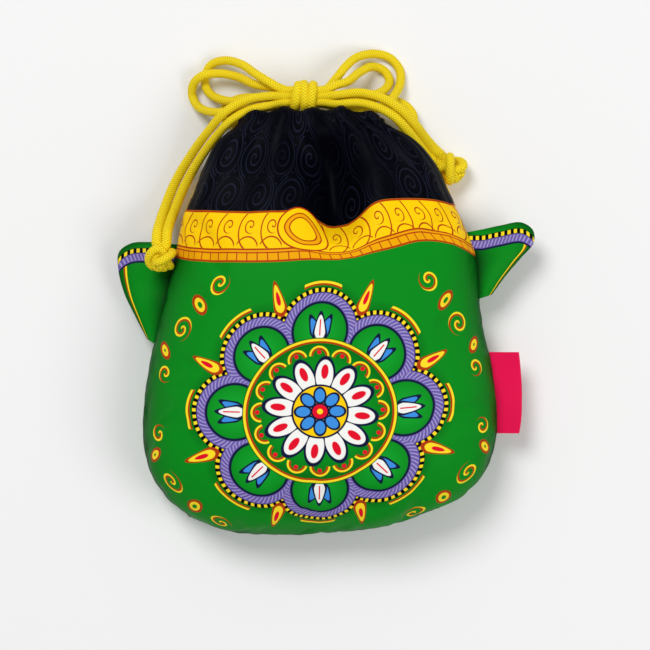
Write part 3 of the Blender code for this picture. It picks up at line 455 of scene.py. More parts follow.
# %% The outline of the sewn pouch
BODY_WIDTH = 0.1296
BODY_BOTTOM_Y = -0.0674
SEAM_GAP = 0.0003
FOLD_RADIUS = 0.0029
MOUTH_Y = 0.0817
MOUTH_CORNER_DROP = 0.0025
FLAP_RUN = 0.0056
FLAP_SHARE = 0.46
SLIT_RISE = 0.0068
BOTTOM_SHARE = 0.26
SECTION_FULLNESS = 2.4
MOUTH_FULLNESS = 5.0
LEFT_OUTLINE = (
    (0.0, -0.735), (0.056, -0.877), (0.133, -0.972), (0.224, -1.0), (0.378, -0.972), (0.505, -0.910),
    (0.603, -0.855), (0.700, -0.812), (0.781, -0.775), (0.848, -0.698), (0.911, -0.616),
    (0.964, -0.520), (1.0, -0.410),
)
RIGHT_OUTLINE = (
    (0.0, 0.679), (0.050, 0.849), (0.111, 0.949), (0.203, 1.0), (0.295, 0.995), (0.387, 0.966),
    (0.479, 0.920), (0.571, 0.898), (0.676, 0.880), (0.750, 0.818), (0.834, 0.735), (0.887, 0.674),
    (0.939, 0.577), (0.973, 0.478), (1.0, 0.345),
)
BOTTOM_OUTLINE = (
    (-1.0, 0.0064), (-0.72, 0.0014), (-0.40, 0.0), (-0.04, 0.0004), (0.36, 0.0014), (0.68, 0.0044),
    (1.0, 0.0099),
)
FRONT_PROFILE = (
    (0.26, 1.0), (0.54, 1.0), (0.66, 0.955), (0.77, 0.83), (0.86, 0.61), (0.93, 0.42), (1.0, 0.345),
)
BACK_PROFILE = ((0.26, 1.0), (0.70, 1.0), (0.80, 0.92), (0.88, 0.78), (0.94, 0.67), (1.0, 0.627))
VALLEY_TOP = (0.0022, 0.0680)
VALLEY_TIP = (0.0075, 0.046)
VALLEY_DEPTH = 0.0145
VALLEY_WIDTH = 0.0085
VALLEY_SINKS = (VALLEY_TIP[1] - 0.004, VALLEY_TIP[1] + 0.011, 0.064, 0.079)
VALLEY_SAG = 0.0068
VALLEY_SLIDES = (VALLEY_TIP[1] - 0.017, VALLEY_TIP[1] + 0.004, 0.058, 0.070)
SAG_AT = 0.0065
SAG_WIDTH = 0.0100
MOUTH_SPREAD = (0.0034, 0.0010)
MOUTH_RISE = 0.0026
# Shares of the height between which one form turns into the next
SLIT_SPAN = (0.88, 0.985)
FLATTER_SPAN = (0.75, 0.97)
EVEN_SPAN = (0.55, 0.9)
MOUTH_SPAN = (0.78, 1.0)


def curve_value(points):
    dense = smooth_curve(points)
    return lambda at: np.interp(at, dense[:, 0], dense[:, 1])


left_share, right_share = curve_value(LEFT_OUTLINE), curve_value(RIGHT_OUTLINE)
bottom_rise = curve_value(BOTTOM_OUTLINE)


def seam_x(side, v):
    return (left_share(v) if side < 0 else right_share(v)) * BODY_WIDTH / 2


def plan(s, v):
    """The place seen from above, for a share s across and v up."""
    mouth = MOUTH_Y - MOUTH_CORNER_DROP * smoothstep(FLAP_SHARE, 1.0, np.abs(s)) ** 2
    return mix(seam_x(-1, v), seam_x(1, v), (s + 1) / 2), mix(BODY_BOTTOM_Y + bottom_rise(s), mouth, v)


def plateau(rise_from, rise_to, fall_from, fall_to, value):
    """0, then 1 between two soft ramps, then 0 again."""
    return smoothstep(rise_from, rise_to, value) * (1 - smoothstep(fall_from, fall_to, value))


def rounded(share, fullness):
    return (1 - np.clip(np.abs(share), 0, 1) ** fullness) ** (1 / fullness)


def arc_share(x, z):
    along = np.concatenate([[0.0], np.cumsum(np.hypot(np.diff(x), np.diff(z)))])
    return along / along[-1], along[-1]


# %% Flat cloth to its place on the pouch


class Panel:
    """One padded panel: side is 1 for the front and -1 for the back."""

    def __init__(self, side, crown, profile, pleat):
        self.side, self.crown, self.pleat = side, crown, pleat
        self.profile = curve_value(profile)
        self.across = np.sin(np.linspace(-math.pi / 2, math.pi / 2, 400))
        self.across_arc, self.width = arc_share(self.across * BODY_WIDTH / 2, self.height(self.across, 0.4))
        low = BOTTOM_SHARE * (1 - np.cos(np.linspace(0, math.pi / 2, 200)))
        self.up = np.concatenate([low, np.linspace(BOTTOM_SHARE, 1, 200)[1:]])
        self.up_arc, self.length = arc_share(plan(0.0, self.up)[1], self.height(0.0, self.up))
        self.fold = math.pi * FOLD_RADIUS
        self.top = self.length + self.fold + FLAP_RUN

    def height(self, s, v):
        rise = rounded(1 - np.clip(v / BOTTOM_SHARE, 0, 1), SECTION_FULLNESS)
        middle = self.crown * np.where(v < BOTTOM_SHARE, rise, self.profile(v))
        edge = SLIT_RISE * smoothstep(*SLIT_SPAN, v)
        fullness = mix(SECTION_FULLNESS, MOUTH_FULLNESS, smoothstep(*FLATTER_SPAN, v))
        return edge + (middle - edge) * rounded(s, fullness)

    def wall(self, p, q):
        """The outer face below the fold line, before gathers and wrinkles."""
        v = np.interp(q / self.length, self.up_arc, self.up)
        even = np.clip(2 * p / self.width, -1, 1)
        by_arc = np.interp((even + 1) / 2, self.across_arc, self.across)
        s = mix(by_arc, even, smoothstep(*EVEN_SPAN, v))
        x, y = plan(s, v)
        h = self.height(s, v)
        if self.side > 0:
            line = np.clip((y - VALLEY_TIP[1]) / (VALLEY_TOP[1] - VALLEY_TIP[1]), -1.0, 1.5)
            across = np.exp(-(((x - mix(VALLEY_TIP[0], VALLEY_TOP[0], line)) / VALLEY_WIDTH) ** 2))
            h = h - VALLEY_DEPTH * across * plateau(*VALLEY_SINKS, y)
            sag = np.exp(-(np.abs((x - SAG_AT) / SAG_WIDTH) ** 3))
            y = y - VALLEY_SAG * sag * plateau(*VALLEY_SLIDES, y)
        z = SEAM_HEIGHT + self.side * (SEAM_GAP / 2 + h)
        near_mouth = smoothstep(*MOUTH_SPAN, v)
        outward = mix(-MOUTH_SPREAD[0], MOUTH_SPREAD[1], np.asarray(s) > 0)
        x = x + outward * near_mouth * np.abs(s) ** 1.6
        y = y + MOUTH_RISE * near_mouth
        return np.stack(np.broadcast_arrays(x, y, z), axis=-1)

    def base(self, p, q):
        """The wall with its top folded inwards round the cords."""
        past = np.maximum(q - self.length, 0.0)
        turn = np.minimum(past / FOLD_RADIUS, math.pi)
        down = np.minimum(np.maximum(past - self.fold, 0.0), FLAP_RUN)
        upright = np.minimum(q, self.length)
        edge = self.wall(p, upright)
        edge[..., 0] = self.wall(p, upright - down)[..., 0]
        edge[..., 1] += FOLD_RADIUS * np.sin(turn) - down
        edge[..., 2] -= self.side * FOLD_RADIUS * (1 - np.cos(turn))
        return edge

    def normal(self, p, q, step=2e-5):
        """The way out of the cloth at each flat place."""
        low_p, high_p = np.maximum(p - step, -self.width / 2), np.minimum(p + step, self.width / 2)
        low_q, high_q = np.maximum(q - step, 0.0), np.minimum(q + step, self.top)
        across = self.base(high_p, q) - self.base(low_p, q)
        normal = np.cross(across, self.base(p, high_q) - self.base(p, low_q))
        return normal * self.side / np.maximum(np.linalg.norm(normal, axis=-1, keepdims=True), 1e-15)


front = Panel(1, crown=0.030, profile=FRONT_PROFILE, pleat=0.0022)
back = Panel(-1, crown=0.0165, profile=BACK_PROFILE, pleat=0.0016)
print("flat cloth, front:", round(front.width, 4), "x", round(front.top, 4))

# %% [markdown]
# ## Wrinkles
# Padded cloth never lies smooth. The gathers push crests up at the mouth and die out on the shoulders.
# Stitches pull the cloth in along the seams, which makes short puckers square to them. Broad soft
# waves run over the rest. Each is a small height over the flat pattern, so they can simply be added.

# %% Heights of the wrinkles
PLEATS = 5
PLEAT_REACH = 0.052
PLEAT_SWAY = 0.0035
FRILL = 0.00035
FRILL_REACH = 0.030
SEAM_NEAR = 0.0075
PUCKER = 0.0004
SEAM_PULL = 0.0005
SEAM_DIP_AT = 0.004
SEAM_DIP_WIDTH = 0.0028
SOFT_WAVE = 0.0010
FINE_WAVE = 0.0003


def noise_over(x, y, seed):
    """Smooth noise at each flat place, from -1 to 1."""
    x, y = np.broadcast_arrays(x, y)
    values = [soft_noise(Vector((a, b, seed))) for a, b in zip(x.ravel(), y.ravel(), strict=True)]
    return np.array(values).reshape(x.shape)


def gathers(panel, p, q, reach):
    """The crests that the drawn cords push up, with small frills between them."""
    sway = PLEAT_SWAY * noise_over(p * 28, q * 12, 3.1)
    wave = 0.5 - 0.5 * np.cos(2 * math.pi * PLEATS * ((p + sway) / panel.width + 0.5))
    over = np.clip((q - panel.length) / panel.fold, 0, 1)
    size = panel.pleat * (0.85 + 0.35 * noise_over(p * 60, q * 8, 7.7))
    crest = wave ** 1.15 * reach * size * (1 - 0.8 * smoothstep(0.3, 1.0, over))
    frill = FRILL * noise_over(p * 260, q * 30, 1.9)
    return crest + frill * smoothstep(panel.length - FRILL_REACH, panel.length, q)


def wrinkles(panel, p, q):
    """How far the cloth stands off its smooth form."""
    reach = smoothstep(panel.length - PLEAT_REACH, panel.length, np.minimum(q, panel.length))
    side_gap = panel.width / 2 - np.abs(p)
    below_mouth = 1 - smoothstep(0.85, 1.0, q / panel.length)
    near_side = np.exp(-side_gap / SEAM_NEAR) * below_mouth
    near_foot = np.exp(-q / SEAM_NEAR)
    pucker = near_side * noise_over(p * 25, q * 210, 4.3) + near_foot * noise_over(p * 210, q * 25, 9.2)
    at_side = np.exp(-((side_gap - SEAM_DIP_AT) / SEAM_DIP_WIDTH) ** 2) * below_mouth
    at_foot = np.exp(-((q - SEAM_DIP_AT) / SEAM_DIP_WIDTH) ** 2)
    soft = SOFT_WAVE * noise_over(p * 28, q * 28, 2.2) * (1 - reach)
    soft = (soft + FINE_WAVE * noise_over(p * 85, q * 85, 5.2)) * (1 - near_side) * (1 - near_foot)
    return gathers(panel, p, q, reach) + PUCKER * pucker - SEAM_PULL * (at_side + at_foot) + soft


# %% [markdown]
# ## Swell of the padding
# Padding pushes the cloth out between its seams. Blender's Cloth does that with a little pressure and
# a little spare cloth, so we run it for a few frames and keep what it gives. The panel is scaled up
# first, because the solver is made for larger things. The gathers and the seams are held still, as
# cord and thread hold them, and no point may move further than a limit.

# %% A short cloth simulation
SIM_SCALE = 5.0
SIM_FRAMES = 14
SIM_QUALITY = 6
SIM_MASS = 0.3
SIM_PRESSURE = 3.0
SIM_BENDING = 0.4
SPARE_CLOTH = 0.010
MOVE_CAP = 0.0012


def settled(obj, held):
    """Blows the panel up a little by a short cloth simulation. Held is 1 where it is sewn or gathered."""
    mesh = obj.data
    start = np.empty(len(mesh.vertices) * 3)
    mesh.vertices.foreach_get("co", start)
    mesh.vertices.foreach_set("co", start * SIM_SCALE)
    sewn = obj.vertex_groups.new(name="sewn")
    for index, weight in enumerate(held):
        sewn.add([index], float(weight), "REPLACE")
    cloth = obj.modifiers.new("settle", "CLOTH")
    cloth.settings.quality = SIM_QUALITY
    cloth.settings.mass = SIM_MASS
    cloth.settings.vertex_group_mass = "sewn"
    cloth.settings.use_pressure = True
    cloth.settings.uniform_pressure_force = SIM_PRESSURE
    cloth.settings.shrink_min = -SPARE_CLOTH
    cloth.settings.bending_stiffness = SIM_BENDING
    cloth.settings.effector_weights.gravity = 0
    cloth.collision_settings.use_collision = False
    cloth.point_cache.frame_end = SIM_FRAMES
    for frame_number in range(1, SIM_FRAMES + 1):
        scene.frame_set(frame_number)
    ended = np.empty(len(start))
    obj.evaluated_get(bpy.context.evaluated_depsgraph_get()).data.vertices.foreach_get("co", ended)
    obj.modifiers.remove(cloth)
    obj.vertex_groups.remove(sewn)
    scene.frame_set(1)
    moved = (ended / SIM_SCALE - start).reshape(-1, 3)
    far = np.linalg.norm(moved, axis=1, keepdims=True)
    moved *= np.minimum(1.0, MOVE_CAP / np.maximum(far, 1e-9))
    places = start.reshape(-1, 3) + moved
    places[:, 2] = np.maximum(places[:, 2], 0.0)
    mesh.vertices.foreach_set("co", places.ravel())
    mean, most = (round(float(size) * 1000, 2) for size in (far.mean(), far.max()))
    print(obj.name, "wants to move by", mean, "mm, most", most)


# %% A panel as a mesh
GRID_ACROSS = 104
GRID_UP = 120
CLOTH = 0.0009
GATHER_HELD = (0.040, 0.022)
SEAM_HELD = 0.0025


def dressed_panel(name, panel):
    """A grid laid out flat, then carried to its place, with the flat place in its UV map."""
    shape = bmesh.new()
    bmesh.ops.create_grid(shape, x_segments=GRID_ACROSS, y_segments=GRID_UP, size=0.5)
    half, shoulder = panel.width / 2, panel.length + panel.fold / 4
    flat = np.array([v.co[:2] for v in shape.verts])
    p, q = flat[:, 0] * panel.width, (flat[:, 1] + 0.5) * panel.top
    flap = FLAP_SHARE * half
    outside = [face for face in shape.faces
               if all(q[v.index] > shoulder and abs(p[v.index]) > flap for v in face.verts)]
    places = panel.base(p, q) + panel.normal(p, q) * wrinkles(panel, p, q)[:, None]
    places[:, 2] = np.maximum(places[:, 2], 0.0)
    uv = shape.loops.layers.uv.new("cloth_uv")
    for face in shape.faces:
        face.smooth = True
        for loop in face.loops:
            loop[uv].uv = (p[loop.vert.index], q[loop.vert.index])
    for vert, place in zip(shape.verts, places, strict=True):
        vert.co = place
    flat_of = {vert: (p[vert.index], q[vert.index]) for vert in shape.verts}
    bmesh.ops.delete(shape, geom=outside, context="FACES")
    kept = [flat_of[vert] for vert in shape.verts]
    if panel.side < 0:
        bmesh.ops.reverse_faces(shape, faces=shape.faces)
    obj = finished(name, shape)
    p, q = np.array(kept).T
    gathered = smoothstep(panel.length - GATHER_HELD[0], panel.length - GATHER_HELD[1], q)
    at_side = 1 - smoothstep(0.0, SEAM_HELD, half - np.abs(p))
    at_seam = np.maximum(at_side, 1 - smoothstep(0.0, SEAM_HELD, q))
    settled(obj, np.maximum(gathered, at_seam))
    fine = obj.modifiers.new("smooth", "SUBSURF")
    fine.levels = fine.render_levels = 1
    thick = obj.modifiers.new("cloth", "SOLIDIFY")
    thick.thickness = CLOTH
    thick.offset = -1
    print(name, "faces", len(obj.data.polygons), "flat", round(panel.width, 3), round(panel.top, 3))
    return obj


front_cloth = dressed_panel("front_cloth", front)
back_cloth = dressed_panel("back_cloth", back)

# %% [markdown]
# ## Ears
# Each ear is a small padded leaf, caught in the side seam and cupped towards the front. A grid is laid
# between the seam and the free edge, once for the face and once for the back, and the two are joined
# round the rim. The cloth is thickest near the seam and thin at the sewn edge.

# %% Ear shapes
EAR_CLOTH = 0.0050
EAR_EDGE = 0.0016
EAR_HOLLOW = 0.0016
EAR_FULLNESS = 2.6
EAR_RIPPLE = 0.0005
EAR_RIPPLE_RATE = 150
EAR_GRID = (56, 44)
SEW_TUCK = 0.0010
EARS = {
    "right": (
        1, (0.0185, 0.0430), 0.001,
        ((0.0595, 0.0442), (0.0659, 0.0456), (0.0735, 0.0467), (0.0778, 0.0438), (0.0780, 0.0392),
         (0.0732, 0.0335), (0.0677, 0.0270), (0.0628, 0.0203)),
    ),
    "left": (
        -1, (0.0020, 0.0385), -0.004,
        ((-0.0575, 0.0393), (-0.0630, 0.0397), (-0.0695, 0.0392), (-0.0739, 0.0360), (-0.0742, 0.0300),
         (-0.0722, 0.0215), (-0.0680, 0.0125), (-0.0636, 0.0040)),
    ),
}


def seam_line(side, low, high, count, tuck):
    """Places along a side seam, tucked in between the two panels."""
    y = np.linspace(low, high, count)
    foot = BODY_BOTTOM_Y + bottom_rise(side)
    top = MOUTH_Y - MOUTH_CORNER_DROP
    return np.stack([seam_x(side, (y - foot) / (top - foot)) - side * tuck, y], axis=1)


def padded_ear(name, side, root, tip_rise, outline):
    """A cupped leaf of padded cloth. One UV map hangs from its top edge, and one holds shares."""
    along, out = EAR_GRID
    foot = seam_line(side, *root, along + 1, SEW_TUCK)
    curve = spaced(smooth_curve(outline), 0.0002)
    tip = int(np.argmax(side * curve[:, 0]))
    crest = (side * curve[: tip + 1, 0], curve[: tip + 1, 1])
    free = curve[::-1][np.linspace(0, len(curve) - 1, along + 1).round().astype(int)]
    shape = bmesh.new()
    hang, share = shape.loops.layers.uv.new("cloth_uv"), shape.loops.layers.uv.new("share_uv")
    rims, seats = [], {}
    for face_up in (True, False):
        made = bmesh.ops.create_grid(shape, x_segments=along, y_segments=out, size=0.5)["verts"]
        local = {v: (v.co.x + 0.5, v.co.y + 0.5) for v in made}
        for vert, (a, reach) in local.items():
            i = min(int(a * along), along - 1)
            part = a * along - i
            x, y = mix(mix(foot[i], foot[i + 1], part), mix(free[i], free[i + 1], part), reach)
            ends = math.sin(math.pi * min(max(a, 0.0), 1.0)) ** 0.5
            bulge = ends * math.sqrt(max(0.0, 1 - reach**EAR_FULLNESS))
            half = mix(EAR_EDGE, EAR_CLOTH, bulge) / 2
            dish = EAR_HOLLOW * ends * math.sin(math.pi * min(1.0, 0.15 + reach))
            spot = Vector((x * EAR_RIPPLE_RATE, y * EAR_RIPPLE_RATE, 3.0))
            ripple = EAR_RIPPLE * soft_noise(spot) * bulge
            level = SEAM_HEIGHT + tip_rise * reach**1.5 - (dish if face_up else 0.4 * dish)
            vert.co = (x, y, level + (half + ripple if face_up else -half))
            seats[vert] = ((side * x, float(np.interp(side * x, *crest)) - y), (a, reach))
        rims.append([e for e in shape.edges if e.is_boundary and e.verts[0] in local])
    bmesh.ops.bridge_loops(shape, edges=[e for rim in rims for e in rim])
    for face in shape.faces:
        face.smooth = True
        for loop in face.loops:
            loop[hang].uv, loop[share].uv = seats[loop.vert]
    bmesh.ops.recalc_face_normals(shape, faces=shape.faces)
    return finished(name, shape)


ear_pieces = {}
for which, (side, root, tip_rise, outline) in EARS.items():
    ear_pieces[which] = padded_ear(f"{which}_ear_cloth", side, root, tip_rise, outline)
print("ears:", len(ear_pieces))

# %% [markdown]
# ## Side label
# The label is a ribbon folded double, with both ends in the side seam. Its outline from the side is a
# hairpin, swept along the seam. The ribbon is left bare.

# %% Folded ribbon
LABEL_SPAN = (-0.0304, -0.0007)
LABEL_WIDTH = 0.0100
LABEL_RIBBON = 0.0005
LABEL_GAP = 0.0002
LABEL_ASKEW = 0.1
LABEL_SHORT = 0.0005
LABEL_WAVE = 0.0007
LABEL_WAVE_RATE = 190
LABEL_CURL = 0.0012
LABEL_ROWS = 41
LABEL_SHARP_DEGREES = 50


def hairpin(reach):
    """The folded ribbon seen from its edge: out along one layer, round the fold and back."""
    bend = [(math.cos(a), math.sin(a)) for a in np.linspace(math.pi / 2, -math.pi / 2, 13)]
    outer, inner = LABEL_GAP + LABEL_RIBBON, LABEL_GAP
    straight = np.linspace(0, reach, 12)[:-1]
    profile = [(a, outer) for a in straight] + [(reach + outer * c, outer * s) for c, s in bend]
    profile += [(a, -outer) for a in straight[::-1]] + [(a, -inner) for a in straight]
    profile += [(reach + inner * c, inner * s) for c, s in reversed(bend)]
    return profile + [(a, inner) for a in straight[::-1]]


def folded_label(name):
    """The hairpin swept along the seam, then set askew, waved and curled a little."""
    root = seam_line(1, *LABEL_SPAN, LABEL_ROWS, SEW_TUCK)
    reach = LABEL_WIDTH + SEW_TUCK - LABEL_GAP - LABEL_RIBBON
    shape = bmesh.new()
    uv = shape.loops.layers.uv.new("cloth_uv")
    first = [shape.verts.new((root[0, 0] + a, root[0, 1], SEAM_HEIGHT + b)) for a, b in hairpin(reach)]
    start = shape.faces.new(first)
    ring = list(start.edges)
    for before, after in zip(root, root[1:], strict=False):
        grown = bmesh.ops.extrude_edge_only(shape, edges=ring)["geom"]
        verts = [g for g in grown if isinstance(g, bmesh.types.BMVert)]
        bmesh.ops.translate(shape, verts=verts, vec=(*(after - before), 0))
        ring = [g for g in grown if isinstance(g, bmesh.types.BMEdge) and all(v in verts for v in g.verts)]
    bmesh.ops.contextual_create(shape, geom=ring)
    for vert in shape.verts:
        out = (vert.co.x - seam_line(1, vert.co.y, vert.co.y, 1, 0)[0, 0]) / LABEL_WIDTH
        vert.co.z += LABEL_WAVE * out * math.sin(vert.co.y * LABEL_WAVE_RATE) + LABEL_CURL * out**2
        vert.co.x += out * (LABEL_ASKEW * (vert.co.y - sum(LABEL_SPAN) / 2) - LABEL_SHORT)
    for face in shape.faces:
        for loop in face.loops:
            loop[uv].uv = (loop.vert.co.x, loop.vert.co.y)
    bmesh.ops.recalc_face_normals(shape, faces=shape.faces)
    obj = finished(name, shape)
    obj.data.shade_smooth()
    obj.data.set_sharp_from_angle(angle=math.radians(LABEL_SHARP_DEGREES))
    return obj


label = folded_label("label_ribbon")
print("label faces:", len(label.data.polygons))

# %% [markdown]
# ## Painting with numbers
# The print is made in the material. A field is a number that changes over the cloth, such as the
# distance to a ring. Where a field falls below zero we are inside the shape, and a very short ramp at
# zero gives a crisp edge. The small class below lets us write fields like ordinary sums.

# %% Fields made of math nodes


class Field:
    """A number over the surface, made by the nodes of one tree."""

    def __init__(self, tree, socket):
        self.tree, self.socket = tree, socket

    def op(self, kind, *others):
        node = self.tree.nodes.new("ShaderNodeMath")
        node.operation = kind
        for slot, value in enumerate((self, *others)):
            if isinstance(value, Field):
                self.tree.links.new(value.socket, node.inputs[slot])
            else:
                node.inputs[slot].default_value = value
        return Field(self.tree, node.outputs[0])

    def __add__(self, other):
        return self.op("ADD", other)

    def __sub__(self, other):
        return self.op("SUBTRACT", other)

    def __mul__(self, other):
        return self.op("MULTIPLY", other)

    def __truediv__(self, other):
        return self.op("DIVIDE", other)

    def __neg__(self):
        return self.op("MULTIPLY", -1.0)

    def __pow__(self, other):
        return self.op("POWER", other)

    def __radd__(self, other):
        return self.op("ADD", other)

    def __abs__(self):
        return self.op("ABSOLUTE")

    def inside(self, soft=0.14):
        """1 where the field is below zero, with a short ramp."""
        ramp = self.op("DIVIDE", -soft).op("ADD", 0.5)
        ramp.socket.node.use_clamp = True
        return ramp

    def line(self, width, soft=0.14):
        """1 on a line of that width where the field is zero."""
        return (abs(self) - width / 2).inside(soft)

    def repeat(self, period):
        """The distance to the nearest whole multiple of the period."""
        return (self / period).op("ADD", 0.5).op("FRACT").op("SUBTRACT", 0.5) * period


def both(a, b):
    return a * b


def either(a, b):
    return a.op("MAXIMUM", b)


def length_from(x, y):
    return (x * x + y * y).op("SQRT")


def angle_of(y, x):
    return y.op("ARCTAN2", x)


def flat_fields(tree, socket):
    """The first two numbers of a vector, as fields."""
    split = tree.nodes.new("ShaderNodeSeparateXYZ")
    tree.links.new(socket, split.inputs[0])
    return [Field(tree, split.outputs[k]) for k in (0, 1)]


def millimetres(tree, socket):
    """The flat place across and up, in millimetres."""
    return [field * 1000.0 for field in flat_fields(tree, socket)]


def noise_field(tree, place, scale, detail=2.0):
    node = tree.nodes.new("ShaderNodeTexNoise")
    node.inputs["Scale"].default_value = scale
    node.inputs["Detail"].default_value = detail
    tree.links.new(place, node.inputs["Vector"])
    return Field(tree, node.outputs["Fac"])


# %% Coats of colour
def paint(tree, under, mask, color):
    """The colour under it, covered where the mask is 1."""
    node = tree.nodes.new("ShaderNodeMix")
    node.data_type = "RGBA"
    tree.links.new(mask.socket, node.inputs["Factor"])
    for name, value in (("A", under), ("B", color)):
        slot = next(s for s in node.inputs if s.name == name and s.type == "RGBA")
        if isinstance(value, tuple):
            slot.default_value = (*value, 1.0)
        else:
            tree.links.new(value, slot)
    return next(s for s in node.outputs if s.type == "RGBA")


class Print:
    """Coats of colour laid over one another in one tree."""

    def __init__(self, tree, under):
        self.tree, self.color = tree, under

    def cover(self, mask, tint):
        self.color = paint(self.tree, self.color, mask, tint)

    def shadowed(self, line, width, where=None):
        """A yellow line with a red-brown shadow on its inner side."""
        for shift, thick, tint in ((-0.45, width + 0.5, LINE_RED), (0.0, width, YELLOW)):
            mask = (line - shift).line(thick)
            self.cover(both(mask, where) if where else mask, tint)


def new_group(name, inputs, outputs):
    """A node group with named inputs and outputs."""
    group = bpy.data.node_groups.new(name, "ShaderNodeTree")
    for label_text, kind in inputs:
        group.interface.new_socket(name=label_text, in_out="INPUT", socket_type=kind)
    for label_text, kind in outputs:
        group.interface.new_socket(name=label_text, in_out="OUTPUT", socket_type=kind)
    return group, group.nodes.new("NodeGroupInput"), group.nodes.new("NodeGroupOutput")


# %% Colours of the print
def srgb(code):
    """A web colour as Blender's linear numbers."""
    parts = [int(code[k : k + 2], 16) / 255 for k in (0, 2, 4)]
    return tuple(c / 12.92 if c <= 0.04045 else ((c + 0.055) / 1.055) ** 2.4 for c in parts)


BLACK = srgb("03040b")
SPIRAL_GREY = srgb("191c2c")
GOLD = srgb("ffcf0a")
GOLD_SHADE = srgb("f0a808")
LINE_RED = srgb("b23a10")
GREEN = srgb("0b8a1e")
GREEN_DEEP = srgb("033c0c")
GREEN_BRIGHT = srgb("14a832")
PURPLE = srgb("6b5ca8")
PURPLE_LIGHT = srgb("a79bd0")
NAVY = srgb("121a3a")
BLUE = srgb("3f8fe0")
RED = srgb("e3122b")
WHITE = srgb("f4f4f0")
YELLOW = srgb("ffe02a")

# %% [markdown]
# ## The ground print
# Both panels carry the same ground: green body, yellow band with a running scroll between two
# borders, black top with tone-on-tone spirals. Running scrolls and spirals are old ornaments. A
# spiral is a field too: the distance from the centre, less the turn, repeated at a fixed pitch.

# %% Fields for ornaments
def spiral(x, y, pitch, hand=1.0):
    """The distance to a spiral line round the origin."""
    return (length_from(x, y) - angle_of(y, x) * (hand * pitch / (2 * math.pi))).repeat(pitch)


def ellipse(x, y, cx, cy, rx, ry):
    """Below zero inside an ellipse, in about its own length units."""
    return (length_from((x - cx) / rx, (y - cy) / ry) - 1.0) * min(rx, ry)


def hashed(a, b):
    """A number that differs from cell to cell."""
    return (a * 12.99 + b * 78.23).op("SINE") * 43.7585


def spread(field, low, high):
    """0 where the field is at low or under, 1 at high or over, straight between."""
    ramp = (field - low) / (high - low)
    ramp.socket.node.use_clamp = True
    return ramp


# %% The black top
SPIRAL_CELL = (18.0, 15.0)
FULL_TURN = 6.283


def black_top(tree, flat, p, q):
    """Black with spirals in staggered cells, which show in some places and fade in others. Near the front's
    fold they are hidden, a painted shade.
    """
    wide, tall = SPIRAL_CELL
    row = (q / tall).op("FLOOR")
    shifted = p + row.op("MODULO", 2.0) * (wide / 2)
    column = (shifted / wide).op("FLOOR")
    cx, cy = shifted - column * wide - wide / 2, q - row * tall - tall / 2
    turn = hashed(column, row).op("FRACT") * FULL_TURN
    swirl_x = cx * turn.op("COSINE") - cy * turn.op("SINE")
    swirl_y = cx * turn.op("SINE") + cy * turn.op("COSINE")
    radius = length_from(cx, cy)
    coil = both(spiral(swirl_x, swirl_y, 3.0).line(0.75), (radius - 7.2).inside())
    ring = (radius - 8.2).line(0.7)
    arcs = (length_from(cx - wide / 2, cy - tall / 2) - 5.5).repeat(2.6).line(0.6)
    lines = either(either(coil, ring), both(arcs, (-(radius - 9.2)).inside()))
    # The noise fades the spirals at random. The second ramp hides them in a strip round p = 4 mm, where the
    # front's fold lies: painted shade in the valley.
    fade_and_valley_shade = both(spread(noise_field(tree, flat, 42.0), 0.34, 0.62), spread(abs(p - 4.0), 3.0, 14.0))
    return paint(tree, BLACK, both(lines, fade_and_valley_shade), SPIRAL_GREY)


# %% The yellow band
BAND_LOW = 116.8
BAND_HIGH = 136.9
BRICK_TOP = BAND_LOW + 4.6
HOOK_PITCH = 11.0
HOOKS_MEET_LEFT = 8.5


def yellow_band(art, p, q, low_q):
    """Running hooks with curls between two border lines, and a row of blocks below."""
    band = both((q - BAND_HIGH).inside(), (-(low_q - BAND_LOW)).inside())
    art.cover(band, GOLD)
    art.cover(both(band, (low_q - BRICK_TOP).inside()), GOLD_SHADE)
    away = abs(p + HOOKS_MEET_LEFT)
    cell = away - (away / HOOK_PITCH).op("FLOOR") * HOOK_PITCH - HOOK_PITCH / 2
    rise = q - (BRICK_TOP + BAND_HIGH) / 2 - 1.0
    hook = both(ellipse(cell, rise, -3.4, 0.0, 8.2, 8.4).line(0.62), (-(cell + 2.6)).inside())
    eye = (cell + 0.8, rise - 1.2)
    curl = both(spiral(*eye, 2.5, -1.0).line(0.55), (length_from(*eye) - 3.1).inside())
    tongue = both((length_from(cell + 0.4, rise + 8.6) - 5.6).line(0.55), (cell - 4.4).inside())
    lines = both(either(either(hook, curl), tongue), (-(low_q - (BRICK_TOP + 0.3))).inside())
    lines = both(lines, (q - (BAND_HIGH - 0.9)).inside())
    blocks = both((p + low_q * 0.25).repeat(4.6).line(0.5), (low_q - (BRICK_TOP - 0.9)).inside())
    edges = either((low_q - BRICK_TOP).line(0.6), (low_q - (BRICK_TOP - 1.2)).line(0.45))
    edges = either(edges, either((low_q - BAND_LOW - 0.3).line(0.8), (q - (BAND_HIGH - 0.3)).line(0.9)))
    art.cover(both(either(lines, either(blocks, edges)), band), LINE_RED)


# %% Ground print group
BAND_WAVE = 2.4
BAND_WAVE_LENGTH = 175


